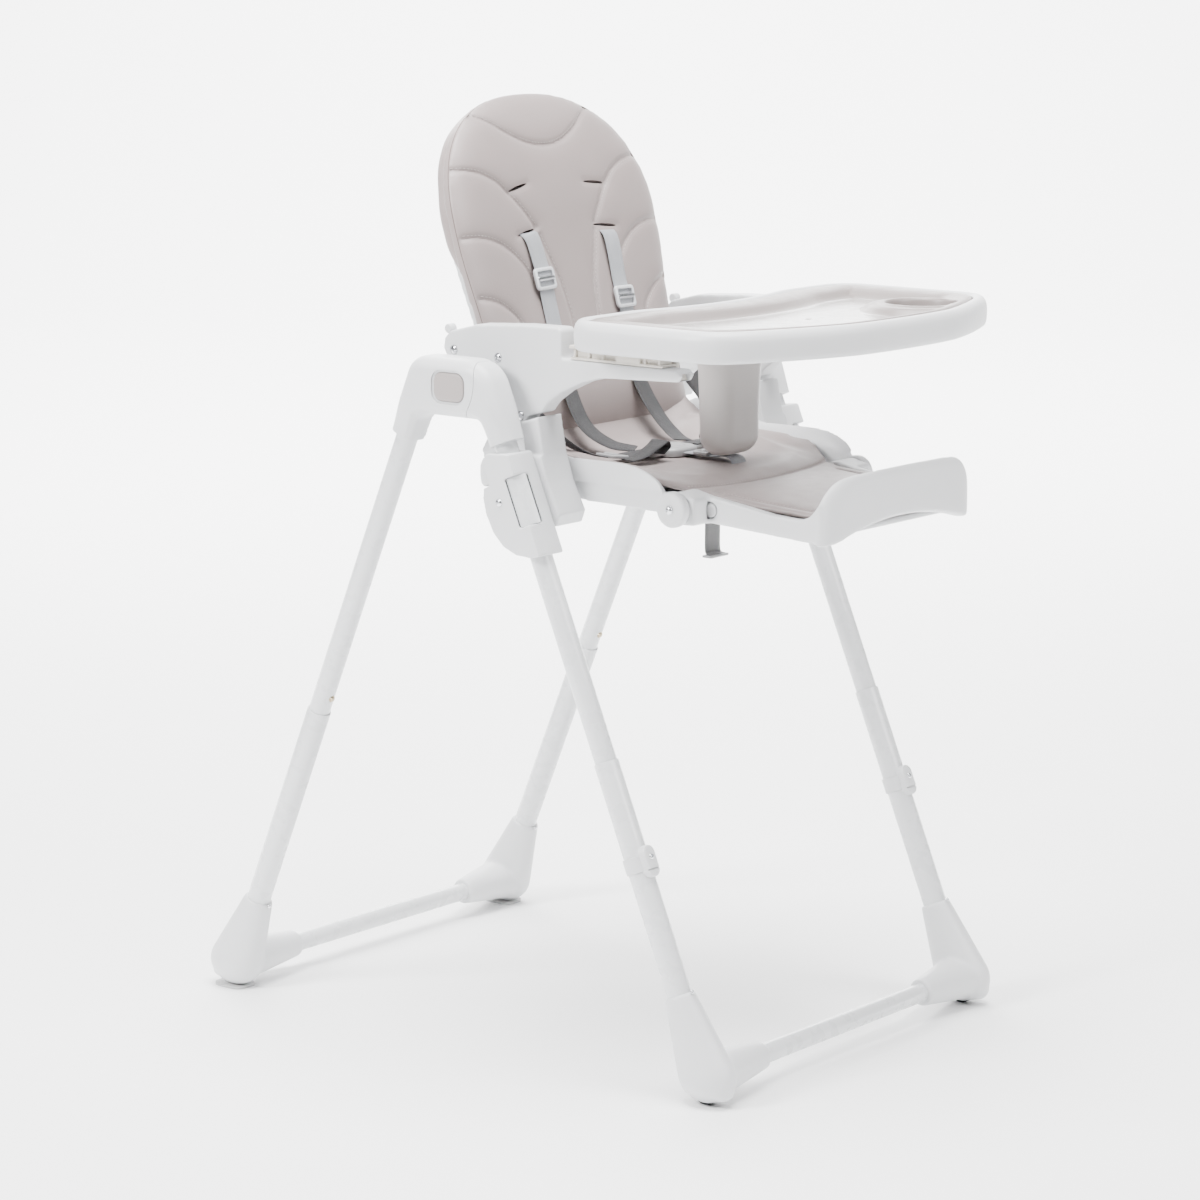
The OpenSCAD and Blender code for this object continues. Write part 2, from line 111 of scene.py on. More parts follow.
def ring_faces(rows, count, caps=True):
    """Faces between closed rings of count points, and a cap at each end."""
    faces = []
    for here in range(0, (rows - 1) * count, count):
        for k in range(count):
            ahead = (k + 1) % count
            faces.append((here + k, here + ahead, here + count + ahead, here + count + k))
    if caps:
        last = (rows - 1) * count
        faces += [tuple(range(count))[::-1], tuple(range(last, last + count))]
    return faces


def cad_copy(name, *nodes):
    """One new mesh with the welded surfaces of these CAD nodes."""
    bm = bmesh.new()
    for node in nodes:
        bm.from_mesh(NODES[node].data)
    bmesh.ops.remove_doubles(bm, verts=bm.verts, dist=0.02 * MM)
    return from_bmesh(name, bm)


def modify(obj, kind, **settings):
    modifier = obj.modifiers.new(kind.lower(), kind)
    for key, value in settings.items():
        setattr(modifier, key, value)
    return modifier


def apply(obj):
    """Replaces the mesh by what its modifiers make of it."""
    graph = bpy.context.evaluated_depsgraph_get()
    mesh = bpy.data.meshes.new_from_object(obj.evaluated_get(graph))
    obj.modifiers.clear()
    obj.data = mesh
    return obj


def remove(obj):
    bpy.data.objects.remove(obj)


def join(name, objects):
    """One object with the meshes of all these, which are removed."""
    bm = bmesh.new()
    for obj in objects:
        obj.data.transform(obj.matrix_world)
        bm.from_mesh(obj.data)
        remove(obj)
    return from_bmesh(name, bm)


def moulded(obj, voxel=1.5 * MM, rounds=8):
    """Fuses the mesh into one skin and rounds its edges."""
    modify(obj, "REMESH", mode="VOXEL", voxel_size=voxel)
    modify(obj, "SMOOTH", factor=0.5, iterations=rounds)
    apply(obj)
    obj.data.shade_smooth()
    return obj


def round_edges(obj, width, segments, angle):
    limit = math.radians(angle)
    modify(obj, "BEVEL", width=width, segments=segments, limit_method="ANGLE", angle_limit=limit)
    return obj


def crisp(obj, width, segments=3):
    """Small round edges on a part with flat faces."""
    modify(obj, "DECIMATE", decimate_type="DISSOLVE", angle_limit=math.radians(0.6))
    return smooth(apply(round_edges(obj, width, segments, 28)))


def smooth(obj, angle=32):
    obj.data.shade_smooth()
    obj.data.set_sharp_from_angle(angle=math.radians(angle))
    return obj


def cut(obj, cutter, operation="DIFFERENCE"):
    modify(obj, "BOOLEAN", operation=operation, object=cutter, solver="EXACT")
    apply(obj)
    remove(cutter)
    return smooth(obj)


def mirrored(obj, name):
    """A copy on the other side of the chair."""
    copy = linked(name, obj.data.copy())
    copy.data.transform(Matrix.Scale(-1, 4, (1, 0, 0)))
    copy.data.flip_normals()
    return copy


def prism(outline, x0, x1, name="prism"):
    """A plate from x0 to x1 whose outline is drawn as (y, z)."""
    n = len(outline)
    verts = [(x, y, z) for x in (x0, x1) for y, z in outline]
    sides = [(i, (i + 1) % n, n + (i + 1) % n, n + i) for i in range(n)]
    return faced_out(new_object(name, verts, [tuple(range(n))[::-1], tuple(range(n, 2 * n)), *sides]), True)


def bar(y0, y1, z0, z1, x0, x1):
    """A plain bar between these sides."""
    return prism([(y0, z0), (y1, z0), (y1, z1), (y0, z1)], x0, x1)


def in_mm(pairs):
    """A table of millimetres as metres."""
    return [(a * MM, b * MM) for a, b in pairs]


def turned(profile, start, axis, name="turned", steps=40):
    """A turned part: profile is (distance along the axis, radius), from one end to the other."""
    turn = Vector(axis).to_track_quat("Z", "Y").to_matrix()
    verts = []
    for along, radius in profile:
        for k in range(steps):
            a = 2 * math.pi * k / steps
            spot = Vector((radius * math.cos(a), radius * math.sin(a), along))
            verts.append(Vector(start) + turn @ spot)
    return new_object(name, verts, ring_faces(len(profile), steps))


def rod(start, end, radius):
    length = (Vector(end) - Vector(start)).length
    return turned([(0, radius), (length, radius)], start, Vector(end) - Vector(start))


def loft(name, rings, caps=True):
    """A skin through closed rings of equally many points."""
    verts = [p for ring in rings for p in ring]
    return faced_out(new_object(name, verts, ring_faces(len(rings), len(rings[0]), caps)))


def stacked(name, shape, layers, centre=(0, 0)):
    """One (x, y) shape lofted through layers of (height, scale)."""
    cx, cy = centre
    return loft(name, [[(cx + x * k, cy + y * k, z) for x, y in shape] for z, k in layers])


def hull(name, points):
    bm = bmesh.new()
    for p in points:
        bm.verts.new(p)
    bmesh.ops.convex_hull(bm, input=bm.verts)
    bmesh.ops.delete(bm, geom=[v for v in bm.verts if not v.link_faces], context="VERTS")
    return from_bmesh(name, bm)


def ball(centre, half, steps=20):
    """Points on an ellipsoid."""
    spots = []
    for i in range(steps + 1):
        for k in range(2 * steps):
            a, b = math.pi * i / steps, math.pi * k / steps
            way = Vector((math.sin(a) * math.cos(b), math.sin(a) * math.sin(b), math.cos(a)))
            spots.append(Vector(centre) + Vector((way.x * half[0], way.y * half[1], way.z * half[2])))
    return spots


def circle(centre, axis, radius, steps=32):
    turn = Vector(axis).to_track_quat("Z", "Y").to_matrix()
    angles = [2 * math.pi * k / steps for k in range(steps)]
    return [Vector(centre) + turn @ Vector((radius * math.cos(a), radius * math.sin(a), 0)) for a in angles]


def rounded_rect(width, height, radius, steps=8):
    """Points of a rounded rectangle about the origin."""
    points = []
    for cx, cy, start in ((1, 1, 0), (-1, 1, 90), (-1, -1, 180), (1, -1, 270)):
        for k in range(steps + 1):
            a = math.radians(start + 90 * k / steps)
            points.append((cx * (width / 2 - radius) + radius * math.cos(a),
                           cy * (height / 2 - radius) + radius * math.sin(a)))
    return points


def smoothstep(low, high, value):
    t = np.clip((value - low) / (high - low), 0, 1)
    return t * t * (3 - 2 * t)


# ---- local frames ----

def leg_frame(top, lean):
    """z runs up the tube, y points to the rear."""
    return Matrix.Translation(top) @ Matrix.Rotation(lean, 4, "X")


ON_FRONT_LEG = leg_frame(FRONT_TOP, FRONT_LEAN)
ON_REAR_LEG = leg_frame(REAR_TOP, REAR_LEAN)
ON_BACK = Matrix.Translation(BACK_FOOT) @ Matrix.Rotation(BACK_LEAN, 4, "X")


# ---- materials ----

def material(name, colour, rough, grain=900, bump=0.12, depth=0.2 * MM, tint=0.02, coat=0, metal=0,
             sheen=0, pattern=None, rough_spread=0.06):
    """A principled material with fine grain, a slight change of colour and of roughness."""
    mat = bpy.data.materials.new(name)
    mat.use_nodes = True
    nodes, links = mat.node_tree.nodes, mat.node_tree.links
    shader = nodes["Principled BSDF"]
    for socket, value in (("Metallic", metal), ("Coat Weight", coat), ("Coat Roughness", 0.12),
                          ("Sheen Weight", sheen), ("Sheen Roughness", 0.4)):
        shader.inputs[socket].default_value = value
    place = nodes.new("ShaderNodeTexCoord")

    def noise(scale, detail=4):
        node = nodes.new("ShaderNodeTexNoise")
        node.inputs["Scale"].default_value = scale
        node.inputs["Detail"].default_value = detail
        links.new(place.outputs["Object"], node.inputs["Vector"])
        return node.outputs["Fac"]

    def spread(source, low, high):
        node = nodes.new("ShaderNodeMapRange")
        node.inputs["To Min"].default_value = low
        node.inputs["To Max"].default_value = high
        node.inputs["From Min"].default_value = 0.3
        node.inputs["From Max"].default_value = 0.7
        links.new(source, node.inputs["Value"])
        return node.outputs["Result"]

    mix = nodes.new("ShaderNodeMix")
    mix.data_type = "RGBA"
    mix.inputs["A"].default_value = (*[c * (1 - tint) for c in colour], 1)
    mix.inputs["B"].default_value = (*[min(1, c * (1 + tint)) for c in colour], 1)
    links.new(spread(noise(9), 0, 1), mix.inputs["Factor"])
    links.new(mix.outputs["Result"], shader.inputs["Base Color"])
    links.new(spread(noise(60), rough - rough_spread, rough + rough_spread), shader.inputs["Roughness"])
    height = pattern(nodes, links, place) if pattern else noise(grain)
    relief = nodes.new("ShaderNodeBump")
    relief.inputs["Strength"].default_value = bump
    relief.inputs["Distance"].default_value = depth
    links.new(height, relief.inputs["Height"])
    links.new(relief.outputs["Normal"], shader.inputs["Normal"])
    return mat


def pebbles(nodes, links, place):
    """The pebbled grain of faux leather: cells of two sizes."""
    cells = []
    for scale in (650, 1500):
        node = nodes.new("ShaderNodeTexVoronoi")
        node.feature = "SMOOTH_F1"
        node.inputs["Scale"].default_value = scale
        links.new(place.outputs["Object"], node.inputs["Vector"])
        cells.append(node.outputs["Distance"])
    add = nodes.new("ShaderNodeMath")
    add.operation = "ADD"
    links.new(cells[0], add.inputs[0])
    links.new(cells[1], add.inputs[1])
    return add.outputs["Value"]


def weave(nodes, links, place):
    """Ribs along the webbing crossed by finer ones, from the strap's own coordinates."""
    spot = nodes.new("ShaderNodeUVMap")
    spot.uv_map = "strap"
    parts = nodes.new("ShaderNodeSeparateXYZ")
    links.new(spot.outputs["UV"], parts.inputs["Vector"])
    waves = []
    for axis, pitch in (("X", 1.5 * MM), ("Y", 1.1 * MM)):
        turn = nodes.new("ShaderNodeMath")
        turn.operation = "MULTIPLY"
        turn.inputs[1].default_value = 2 * math.pi / pitch
        links.new(parts.outputs[axis], turn.inputs[0])
        wave = nodes.new("ShaderNodeMath")
        wave.operation = "SINE"
        links.new(turn.outputs["Value"], wave.inputs[0])
        waves.append(wave.outputs["Value"])
    cross = nodes.new("ShaderNodeMath")
    cross.operation = "MULTIPLY"
    links.new(waves[0], cross.inputs[0])
    links.new(waves[1], cross.inputs[1])
    return cross.outputs["Value"]


MOULDED = {"grain": 2600, "bump": 0.30}
PALE_MOULDED = {"grain": 2600, "bump": 0.25}
PAINT = {"grain": 1600, "bump": 0.10, "coat": 0.5, "rough_spread": 0.02}
METAL = {"grain": 1500, "bump": 0.15, "metal": 1}
WOVEN = {"bump": 0.7, "depth": 0.4 * MM, "pattern": weave}
LEATHER = {"bump": 0.35, "depth": 0.25 * MM, "tint": 0.03, "sheen": 0.15, "pattern": pebbles}
LOOKS = {
    "painted_tube": ((0.66, 0.67, 0.68), 0.28, PAINT),
    "white_plastic": ((0.62, 0.625, 0.635), 0.40, MOULDED),
    "cream_plastic": ((0.60, 0.565, 0.51), 0.45, MOULDED),
    "taupe_plastic": ((0.24, 0.211, 0.203), 0.36, PALE_MOULDED),
    # Lighter copy of the taupe for the crotch post: painted light against the shade under the tray
    "post_plastic": ((0.52, 0.492, 0.478), 0.36, PALE_MOULDED),
    "button_plastic": ((0.34, 0.303, 0.293), 0.36, PALE_MOULDED),
    # Lighter copy of the liner's taupe for its sunken floor: a painted reflection on the glossy floor
    "liner_floor": ((0.37, 0.352, 0.342), 0.18, {"grain": 2600, "bump": 0.12, "coat": 0.4}),
    "faux_leather": ((0.285, 0.240, 0.232), 0.44, LEATHER),
    "webbing": ((0.34, 0.352, 0.376), 0.5, {**WOVEN, "sheen": 0.3}),
    # Seat webbing: a dark grey strap colour, darkened further as painted shade for the seat under the tray
    "seat_webbing": ((0.035, 0.035, 0.037), 0.5, {**WOVEN, "sheen": 0.06}),
    "grey_webbing": ((0.13, 0.13, 0.132), 0.5, {**WOVEN, "sheen": 0.2}),
    "slide": ((0.60, 0.61, 0.63), 0.28, {"grain": 1800, "bump": 0.2, "coat": 0.3}),
    "grey_plastic": ((0.33, 0.33, 0.335), 0.34, {"grain": 1800, "bump": 0.25}),
    "satin_steel": ((0.66, 0.67, 0.69), 0.30, METAL),
    "brass": ((0.50, 0.42, 0.30), 0.32, METAL),
    "steel": ((0.72, 0.73, 0.75), 0.22, {**METAL, "bump": 0.1}),
    "rubber": ((0.025, 0.025, 0.028), 0.6, {"grain": 1200, "bump": 0.5}),
    "pale_rubber": ((0.50, 0.50, 0.50), 0.6, {"grain": 1200, "bump": 0.5}),
    "thread": ((0.45, 0.40, 0.39), 0.6, {"grain": 3000, "bump": 0.5}),
    # Near-black cord of the back's seam: piping whose darkness is also painted shade for the gap in the seam
    "piping": ((0.13, 0.095, 0.088), 0.6, {"grain": 3000, "bump": 0.4}),
}
MATERIALS = {name: material(name, colour, rough, **more) for name, (colour, rough, more) in LOOKS.items()}


def dress(obj, slot, body=None, replaces=(), look=None):
    """Gives a piece its material, its body and the CAD nodes it stands for."""
    obj.data.materials.clear()
    obj.data.materials.append(MATERIALS[look or slot])
    if body:
        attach(obj, body)
    if replaces:
        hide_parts(*replaces)
    return obj


def pair(obj, slot, body, node, look=None):
    """The same piece on both sides; body and node may carry the side as {}."""
    stem = obj.name[:-2]
    other = mirrored(obj, stem + "_r")
    for piece, side in ((obj, "l"), (other, "r")):
        dress(piece, slot, body.format(side), [n.format(side) for n in node], look)
    return obj, other


# ---- stage ----

def make_stage():
    scene = bpy.context.scene
    camera = bpy.data.objects.new("camera", bpy.data.cameras.new("camera"))
    camera.location = (-3.38437, -2.74430, 1.30997)
    camera.rotation_euler = [math.radians(a) for a in (79.235, 0, -50.693)]
    camera.data.sensor_width = 36
    camera.data.lens = 114.17
    scene.collection.objects.link(camera)
    scene.camera = camera
    half, bend, wall = 9.0, 2.0, 4.0
    profile = [(-half, 0.0), (half - bend, 0.0)]
    for k in range(1, 13):
        a = math.pi / 2 * k / 12
        profile.append((half - bend + bend * math.sin(a), bend - bend * math.cos(a)))
    profile.append((half, wall + bend))
    turn = Matrix.Rotation(camera.rotation_euler.z, 4, "Z")
    verts = [turn @ Vector((x, y, z)) for y, z in profile for x in (-half, half)]
    faces = [(2 * i, 2 * i + 1, 2 * i + 3, 2 * i + 2) for i in range(len(profile) - 1)]
    floor = new_object("floor", verts, faces)
    floor.data.shade_smooth()
    floor.data.materials.append(material("floor", (0.97, 0.97, 0.97), 0.9, grain=40, bump=0.01, tint=0.003))
    world = bpy.data.worlds.new("studio")
    world.use_nodes = True
    world.node_tree.nodes["Background"].inputs["Color"].default_value = (1, 1, 1, 1)
    world.node_tree.nodes["Background"].inputs["Strength"].default_value = 0.15
    scene.world = world
    target = Vector((0, 0, 0.55))
    for name, place, size, power in (
        ("key", (-3.2, 1.2, 2.7), 1.4, 270),
        ("fill", (0.4, -3.7, 3.0), 2.4, 135),
        ("rim", (1.8, 3.0, 3.0), 2.2, 110),
        ("top", (-0.2, -0.3, 3.8), 2.6, 450),
    ):
        light = bpy.data.lights.new(name, "AREA")
        light.shape = "DISK"
        light.size = size
        light.energy = power
        lamp = bpy.data.objects.new(name, light)
        lamp.location = place
        lamp.rotation_euler = (target - Vector(place)).to_track_quat("-Z", "Y").to_euler()
        scene.collection.objects.link(lamp)
    glow = bpy.data.lights.new("backdrop", "AREA")
    glow.size = 5.0
    glow.energy = 2600
    lamp = bpy.data.objects.new("backdrop", glow)
    lamp.location = turn @ Vector((0, 4.5, 5.5))
    lamp.rotation_euler = (turn @ Vector((0, 9, 1.5)) - lamp.location).to_track_quat("-Z", "Y").to_euler()
    scene.collection.objects.link(lamp)


# ---- legs and shoes ----

def dress_frame():
    """The tubes, pins and bolts stay CAD nodes, with their ends rounded."""
    tubes = [f"{end}_{part}_tube_{side}" for end in ("front", "rear")
             for part in ("upper", "lower") for side in SIDES]
    looks = {
        "painted_tube": [*tubes, "front_crossbar", "rear_crossbar"],
        "steel": ["wheel_axles", "pivot_bolts", "footrest_pins", "recline_rod"],
        "pale_rubber": ["rear_pads"],
    }
    for look, names in looks.items():
        for name in names:
            node = NODES[name]
            node.data.materials.clear()
            node.data.materials.append(MATERIALS[look])
            node.data.shade_smooth()
            modify(node, "WELD", merge_threshold=0.02 * MM)
            round_edges(node, 0.5 * MM, 3, 40)


SHOE_FLOOR = 3 * MM
BAR_Z = 0.033


def shoe(name, frame_of_leg, body, half, bar_y, toe):
    """A boot: collar round the leg, bulging body, a toe and the socket of the crossbar."""
    collar = [frame_of_leg @ p for z in (-0.634, -0.627) for p in circle((0, 0, z), (0, 0, 1), 0.0172)]
    middle = Vector((LEG_X + 2 * MM, body[0], body[1]))
    leg = hull("leg", collar + ball(middle, half))
    mouth = [p for x, r in ((0.154, 0.016), (0.160, 0.0162))
             for p in circle((x, bar_y, BAR_Z), (1, 0, 0), r)]
    socket = hull("socket", ball(middle + Vector((-0.012, 0, 0)), [h * 0.84 for h in half]) + mouth)
    front = hull("toe", ball(middle + Vector((0, 0.3 * toe[0], -0.006)), [0.019, 0.02, 0.020])
                 + ball(middle + Vector(toe), [0.0165, 0.012, 0.011]))
    obj = moulded(join(name, [leg, socket, front]), voxel=2.2 * MM, rounds=14)
    return cut(obj, bar(-0.6, 0.6, -0.05, SHOE_FLOOR, 0, 0.4))


def make_front_shoes():
    wheel_low, wheel_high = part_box("front_wheel_l")
    centre = (wheel_low + wheel_high) / 2
    radius = (wheel_high.z - wheel_low.z) / 2
    toe = Vector((0, -0.022, -0.014))
    obj = shoe("front_boot_l", ON_FRONT_LEG, (-0.326, 0.032), (0.025, 0.036, 0.030), -0.329, toe)
    half = (wheel_high.x - wheel_low.x) / 2 + 1 * MM
    room = radius + 1.5 * MM
    arch = [(centre.y + room * math.cos(a), centre.z + room * math.sin(a))
            for a in np.radians(np.linspace(0, 180, 17))]
    well = prism([(arch[0][0], -0.01), *arch, (arch[-1][0], -0.01)], centre.x - half, centre.x + half)
    pair(cut(obj, well), "white_plastic", "front_frame", ["front_shoe_{}"])
    groove = radius - 0.7 * MM
    tread = [(0, 0.004), (0, 0.0145), (0.8 * MM, 0.0166), (2.2 * MM, radius), (5.2 * MM, radius),
             (5.7 * MM, groove), (6.3 * MM, groove), (6.8 * MM, radius), (9.8 * MM, radius),
             (11.2 * MM, 0.0166), (12 * MM, 0.0145), (12 * MM, 0.004)]
    wheel = smooth(turned(tread, (wheel_low.x, centre.y, centre.z), (1, 0, 0), "wheel_l"))
    pair(wheel, "rubber", "front_wheel_{}", ["front_wheel_{}"])


def make_rear_shoes():
    toe = Vector((0, 0.020, -0.014))
    obj = shoe("rear_boot_l", ON_REAR_LEG, (0.388, 0.032), (0.025, 0.037, 0.030), 0.381, toe)
    pair(obj, "white_plastic", "rear_frame", ["rear_shoe_{}"])


def screw(head, out, radius, name="screw"):
    """A domed screw head with a cross recess, its back at head."""
    dome = [(0, radius), (0.25 * radius, radius), (0.48 * radius, 0.86 * radius),
            (0.62 * radius, 0.6 * radius), (0.68 * radius, 0.3 * radius), (0.70 * radius, 0.05 * radius)]
    obj = turned(dome, head, out, name, steps=28)
    turn = Vector(out).to_track_quat("Z", "Y").to_matrix().to_4x4()
    for angle in (45, 135):
        bm = bmesh.new()
        bmesh.ops.create_cube(bm, size=1)
        size = Matrix.Diagonal((1.15 * radius, 0.26 * radius, 0.7 * radius, 1))
        spin = Matrix.Rotation(math.radians(angle), 4, "Z")
        lift = Matrix.Translation((0, 0, 0.72 * radius))
        bm.transform(Matrix.Translation(head) @ turn @ lift @ spin @ size)
        cut(obj, from_bmesh("recess", bm))
    return obj


def both(objects, name, slot, body, replaces=()):
    """One piece from these and their mirror images."""
    left = join(name, objects)
    right = mirrored(left, "right")
    return smooth(dress(join(name, [left, right]), slot, body, replaces))


def leg_spot(on_leg, down, forward):
    """A place on the front side of a leg, and the way out from it."""
    return on_leg @ Vector((0, -forward, -down)), on_leg.to_3x3() @ Vector((0, -1, 0))


def make_leg_details():
    tube_r = 0.014
    clip_out = 7 * MM
    low = leg_spot(ON_FRONT_LEG, 0.628, tube_r + 4.2 * MM)
    clip = leg_spot(ON_FRONT_LEG, 0.475, tube_r + clip_out - 0.3 * MM)
    heads = [screw(*low, 2.5 * MM), screw(*clip, 3.5 * MM)]
    both(heads, "front_screw_heads", "steel", "front_frame", ["front_screws"])
    low = leg_spot(ON_REAR_LEG, 0.628, tube_r + 4.2 * MM)
    both([screw(*low, 2.5 * MM)], "rear_screw_heads", "steel", "rear_frame", ["rear_screws"])
    spot, out = leg_spot(ON_REAR_LEG, 0.340, 0.0125)
    profile = in_mm([(-1, 4.2), (0.4, 4.2), (0.5, 3.1), (1.6, 3.0), (2.2, 2.3), (2.5, 1.2)])
    knob = turned(profile, spot, out, steps=28)
    both([knob], "snap_knobs", "brass", "rear_frame", ["snap_buttons"])
    wide, high = 0.019, 0.036
    shape = rounded_rect(wide, high, 0.0090)
    rings = []
    layers = ((0.006, 0), (0.0185, 0), (0.0202, -0.7 * MM), (0.0210, -2.0 * MM), (0.0213, -4 * MM))
    for forward, grow in layers:
        scale_x, scale_z = 1 + 2 * grow / wide, 1 + 2 * grow / high
        rings.append([ON_FRONT_LEG @ Vector((x * scale_x, -forward, -0.479 + z * scale_z)) for x, z in shape])
    plate = loft("clip", rings)
    groove = bar(0, 0.003, 0, 0.0016, -0.02, 0.02)
    groove.data.transform(ON_FRONT_LEG @ Matrix.Translation((0, -0.0218, -0.489)))
    cut(plate, groove)
    profile = in_mm([(0, 14.2), (0, 15.2), (0.6, 15.8), (17.4, 15.8), (18, 15.2), (18, 14.2)])
    band = turned(profile, ON_FRONT_LEG @ Vector((0, 0, -0.488)), ON_FRONT_LEG.to_3x3() @ Vector((0, 0, 1)))
    both([plate, band], "leg_clip_plates", "white_plastic", "front_frame", ["leg_clips"])


# ---- elbows ----

# Side view of the elbow as (y, z, corner radius): a rear and a front sleeve under a rounded head
ELBOW_CORNERS = [(0.1330, 0.6702, 0), (0.0830, 0.7880, 0.027), (-0.0233, 0.7880, 0.040), (-0.0752, 0.6650, 0),
                 (-0.0372, 0.6650, 0), (-0.0132, 0.7220, 0.010), (0.0750, 0.7220, 0.020), (0.1024, 0.6572, 0)]
HEAD_R = 0.055
SLEEVE_END = 5 * MM
SLEEVE_HALF = 17 * MM
BUTTON_LOW, BUTTON_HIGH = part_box("fold_button_l")
BUTTON = (BUTTON_LOW + BUTTON_HIGH) / 2
BUTTON_W, BUTTON_H = BUTTON_HIGH.y - BUTTON_LOW.y, BUTTON_HIGH.z - BUTTON_LOW.z


def head_region(radius):
    """The part of space ahead of the round seam."""
    angles = np.radians(np.linspace(88, 272, 40))
    arc = [(PIVOT.y + radius * math.cos(a), PIVOT.z + radius * math.sin(a)) for a in angles]
    return prism([*arc, (arc[-1][0] - 0.02, 0.60), (-0.3, 0.60), (-0.3, 0.90), (arc[0][0], 0.90)],
                 ELBOW_IN - 0.05, ELBOW_OUT + 0.05)


def button_plate(grow, radius, x0, x1):
    shape = rounded_rect(BUTTON_W + grow, BUTTON_H + grow, radius)
    return prism([(BUTTON.y + y, BUTTON.z + z) for y, z in shape], x0, x1)


def rounded(corners, step=1.5 * MM):
    """An evenly stepped closed outline through (y, z, radius) corners."""
    points = []
    count = len(corners)
    for i, (y, z, radius) in enumerate(corners):
        spot = Vector((y, z))
        if not radius:
            points.append(spot)
            continue
        back = (Vector(corners[i - 1][:2]) - spot).normalized()
        ahead = (Vector(corners[(i + 1) % count][:2]) - spot).normalized()
        half = back.angle(ahead) / 2
        centre = spot + (back + ahead).normalized() * radius / math.sin(half)
        start = spot + back * radius / math.tan(half) - centre
        turn = start.angle_signed(spot + ahead * radius / math.tan(half) - centre)
        for t in np.linspace(0, 1, 13):
            points.append(centre + Matrix.Rotation(-turn * t, 2) @ start)
    return resampled([*points, points[0]], step)[:-1]


def elbow_whole():
    """Both sleeves and the head as one body, round where it holds the tubes and wider above."""
    outline = rounded(ELBOW_CORNERS)
    half = ELBOW_OUT - LEG_X
    way = np.roll(outline, -1, axis=0) - np.roll(outline, 1, axis=0)
    way /= np.linalg.norm(way, axis=1)[:, None]
    inward = np.column_stack([-way[:, 1], way[:, 0]])
    edge = 15 * MM
    rings = []
    for side, angles in ((-1, np.linspace(0, 90, 10)), (1, np.linspace(90, 0, 10))):
        for a in np.radians(angles):
            flat = outline + inward * edge * (1 - math.sin(a))
            depth = half - edge * (1 - math.cos(a))
            rings.append([(LEG_X + side * depth, y, z) for y, z in flat])
    whole = moulded(loft("whole", rings), voxel=1.8 * MM, rounds=5)
    for leg in (ON_FRONT_LEG, ON_REAR_LEG):
        cut(whole, below_sleeve(leg))
    for vertex in whole.data.vertices:
        share = SLEEVE_HALF / half + (1 - SLEEVE_HALF / half) * float(smoothstep(0.698, 0.742, vertex.co.z))
        vertex.co.x = LEG_X + (vertex.co.x - LEG_X) * share
    return whole


def below_sleeve(on_leg):
    box = bar(-0.06, 0.06, -0.08, SLEEVE_END, -0.06, 0.06)
    box.data.transform(on_leg)
    return box


def make_elbows():
    whole = elbow_whole()
    rear = linked("elbow_rear_l", whole.data.copy())
    whole.name = "elbow_front_l"
    cut(whole, head_region(HEAD_R + 0.9 * MM), "INTERSECT")
    cut(rear, head_region(HEAD_R))
    cut(rear, button_plate(6 * MM, 14 * MM, ELBOW_OUT - 2.2 * MM, ELBOW_OUT + 0.01))
    cut(rear, button_plate(1 * MM, 11.5 * MM, ELBOW_OUT - 14 * MM, ELBOW_OUT + 0.01))
    for obj in (whole, rear):
        smooth(apply(round_edges(obj, 0.7 * MM, 3, 48)), 45)
    pair(whole, "white_plastic", "front_frame", ["front_elbow_{}"])
    pair(rear, "white_plastic", "rear_frame", ["rear_elbow_{}"])
    rings = []
    for back, shrink in ((16.5, 0), (1.8, 0), (0.8, 0.4), (0.2, 1.4), (0, 3.2), (0.1, 6)):
        shape = rounded_rect(BUTTON_W - 2 * shrink * MM, BUTTON_H - 2 * shrink * MM, (11 - 0.9 * shrink) * MM)
        rings.append([(BUTTON_HIGH.x - back * MM, BUTTON.y + y, BUTTON.z + z) for y, z in shape])
    pad = smooth(loft("fold_pad_l", rings), 60)
    pair(pad, "taupe_plastic", "fold_button_{}", ["fold_button_{}"], "button_plastic")


# ---- seat frame ----

def make_carriers():
    """The housing that slides on the front leg, its lever behind, and the window over the tube."""
    half, face = ELBOW_OUT - LEG_X, 1.5 * MM
    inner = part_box("height_carrier_l")[0].x - LEG_X
    cheeks = []
    for x0, x1 in ((half - face, half), (inner, inner + face)):
        cheek = prism([(0.012, -0.0015), (0.0215, -0.0050), (0.0215, -0.0355), (0.012, -0.0355)], x0, x1)
        cheek.data.transform(ON_FRONT_LEG)
        cheeks.append(cheek)
    carrier = join("carrier_l", [cad_copy("body", "height_carrier_l"), *cheeks])
    moulded(carrier, voxel=1.3 * MM, rounds=9)
    pair(carrier, "white_plastic", "seat", ["height_carrier_{}"])
    lever = moulded(cad_copy("height_grip_l", "height_lever_l"), voxel=1.3 * MM, rounds=9)
    pair(lever, "white_plastic", "height_lever_{}", ["height_lever_{}"])
    rings = []
    for z, grow in ((-0.0906, -0.5), (-0.0901, 0), (-0.0349, 0), (-0.0344, -0.5)):
        outer = [(0.0198 + grow * MM, a) for a in np.radians(np.linspace(15, 85, 15))]
        arc = outer + [(0.0150, a) for a in np.radians(np.linspace(85, 15, 15))]
        rings.append([ON_FRONT_LEG @ Vector((r * math.sin(a), -r * math.cos(a), z)) for r, a in arc])
    pair(smooth(loft("carrier_window_l", rings), 40), "painted_tube", "seat", [])
    mount = moulded(cad_copy("mount_l", "seat_mount_l"), voxel=1.5 * MM, rounds=9)
    pair(mount, "white_plastic", "seat", ["seat_mount_{}"])


PANEL_SCREWS = [(0.064, 0.790), (-0.001, 0.786), (-0.033, 0.724)]


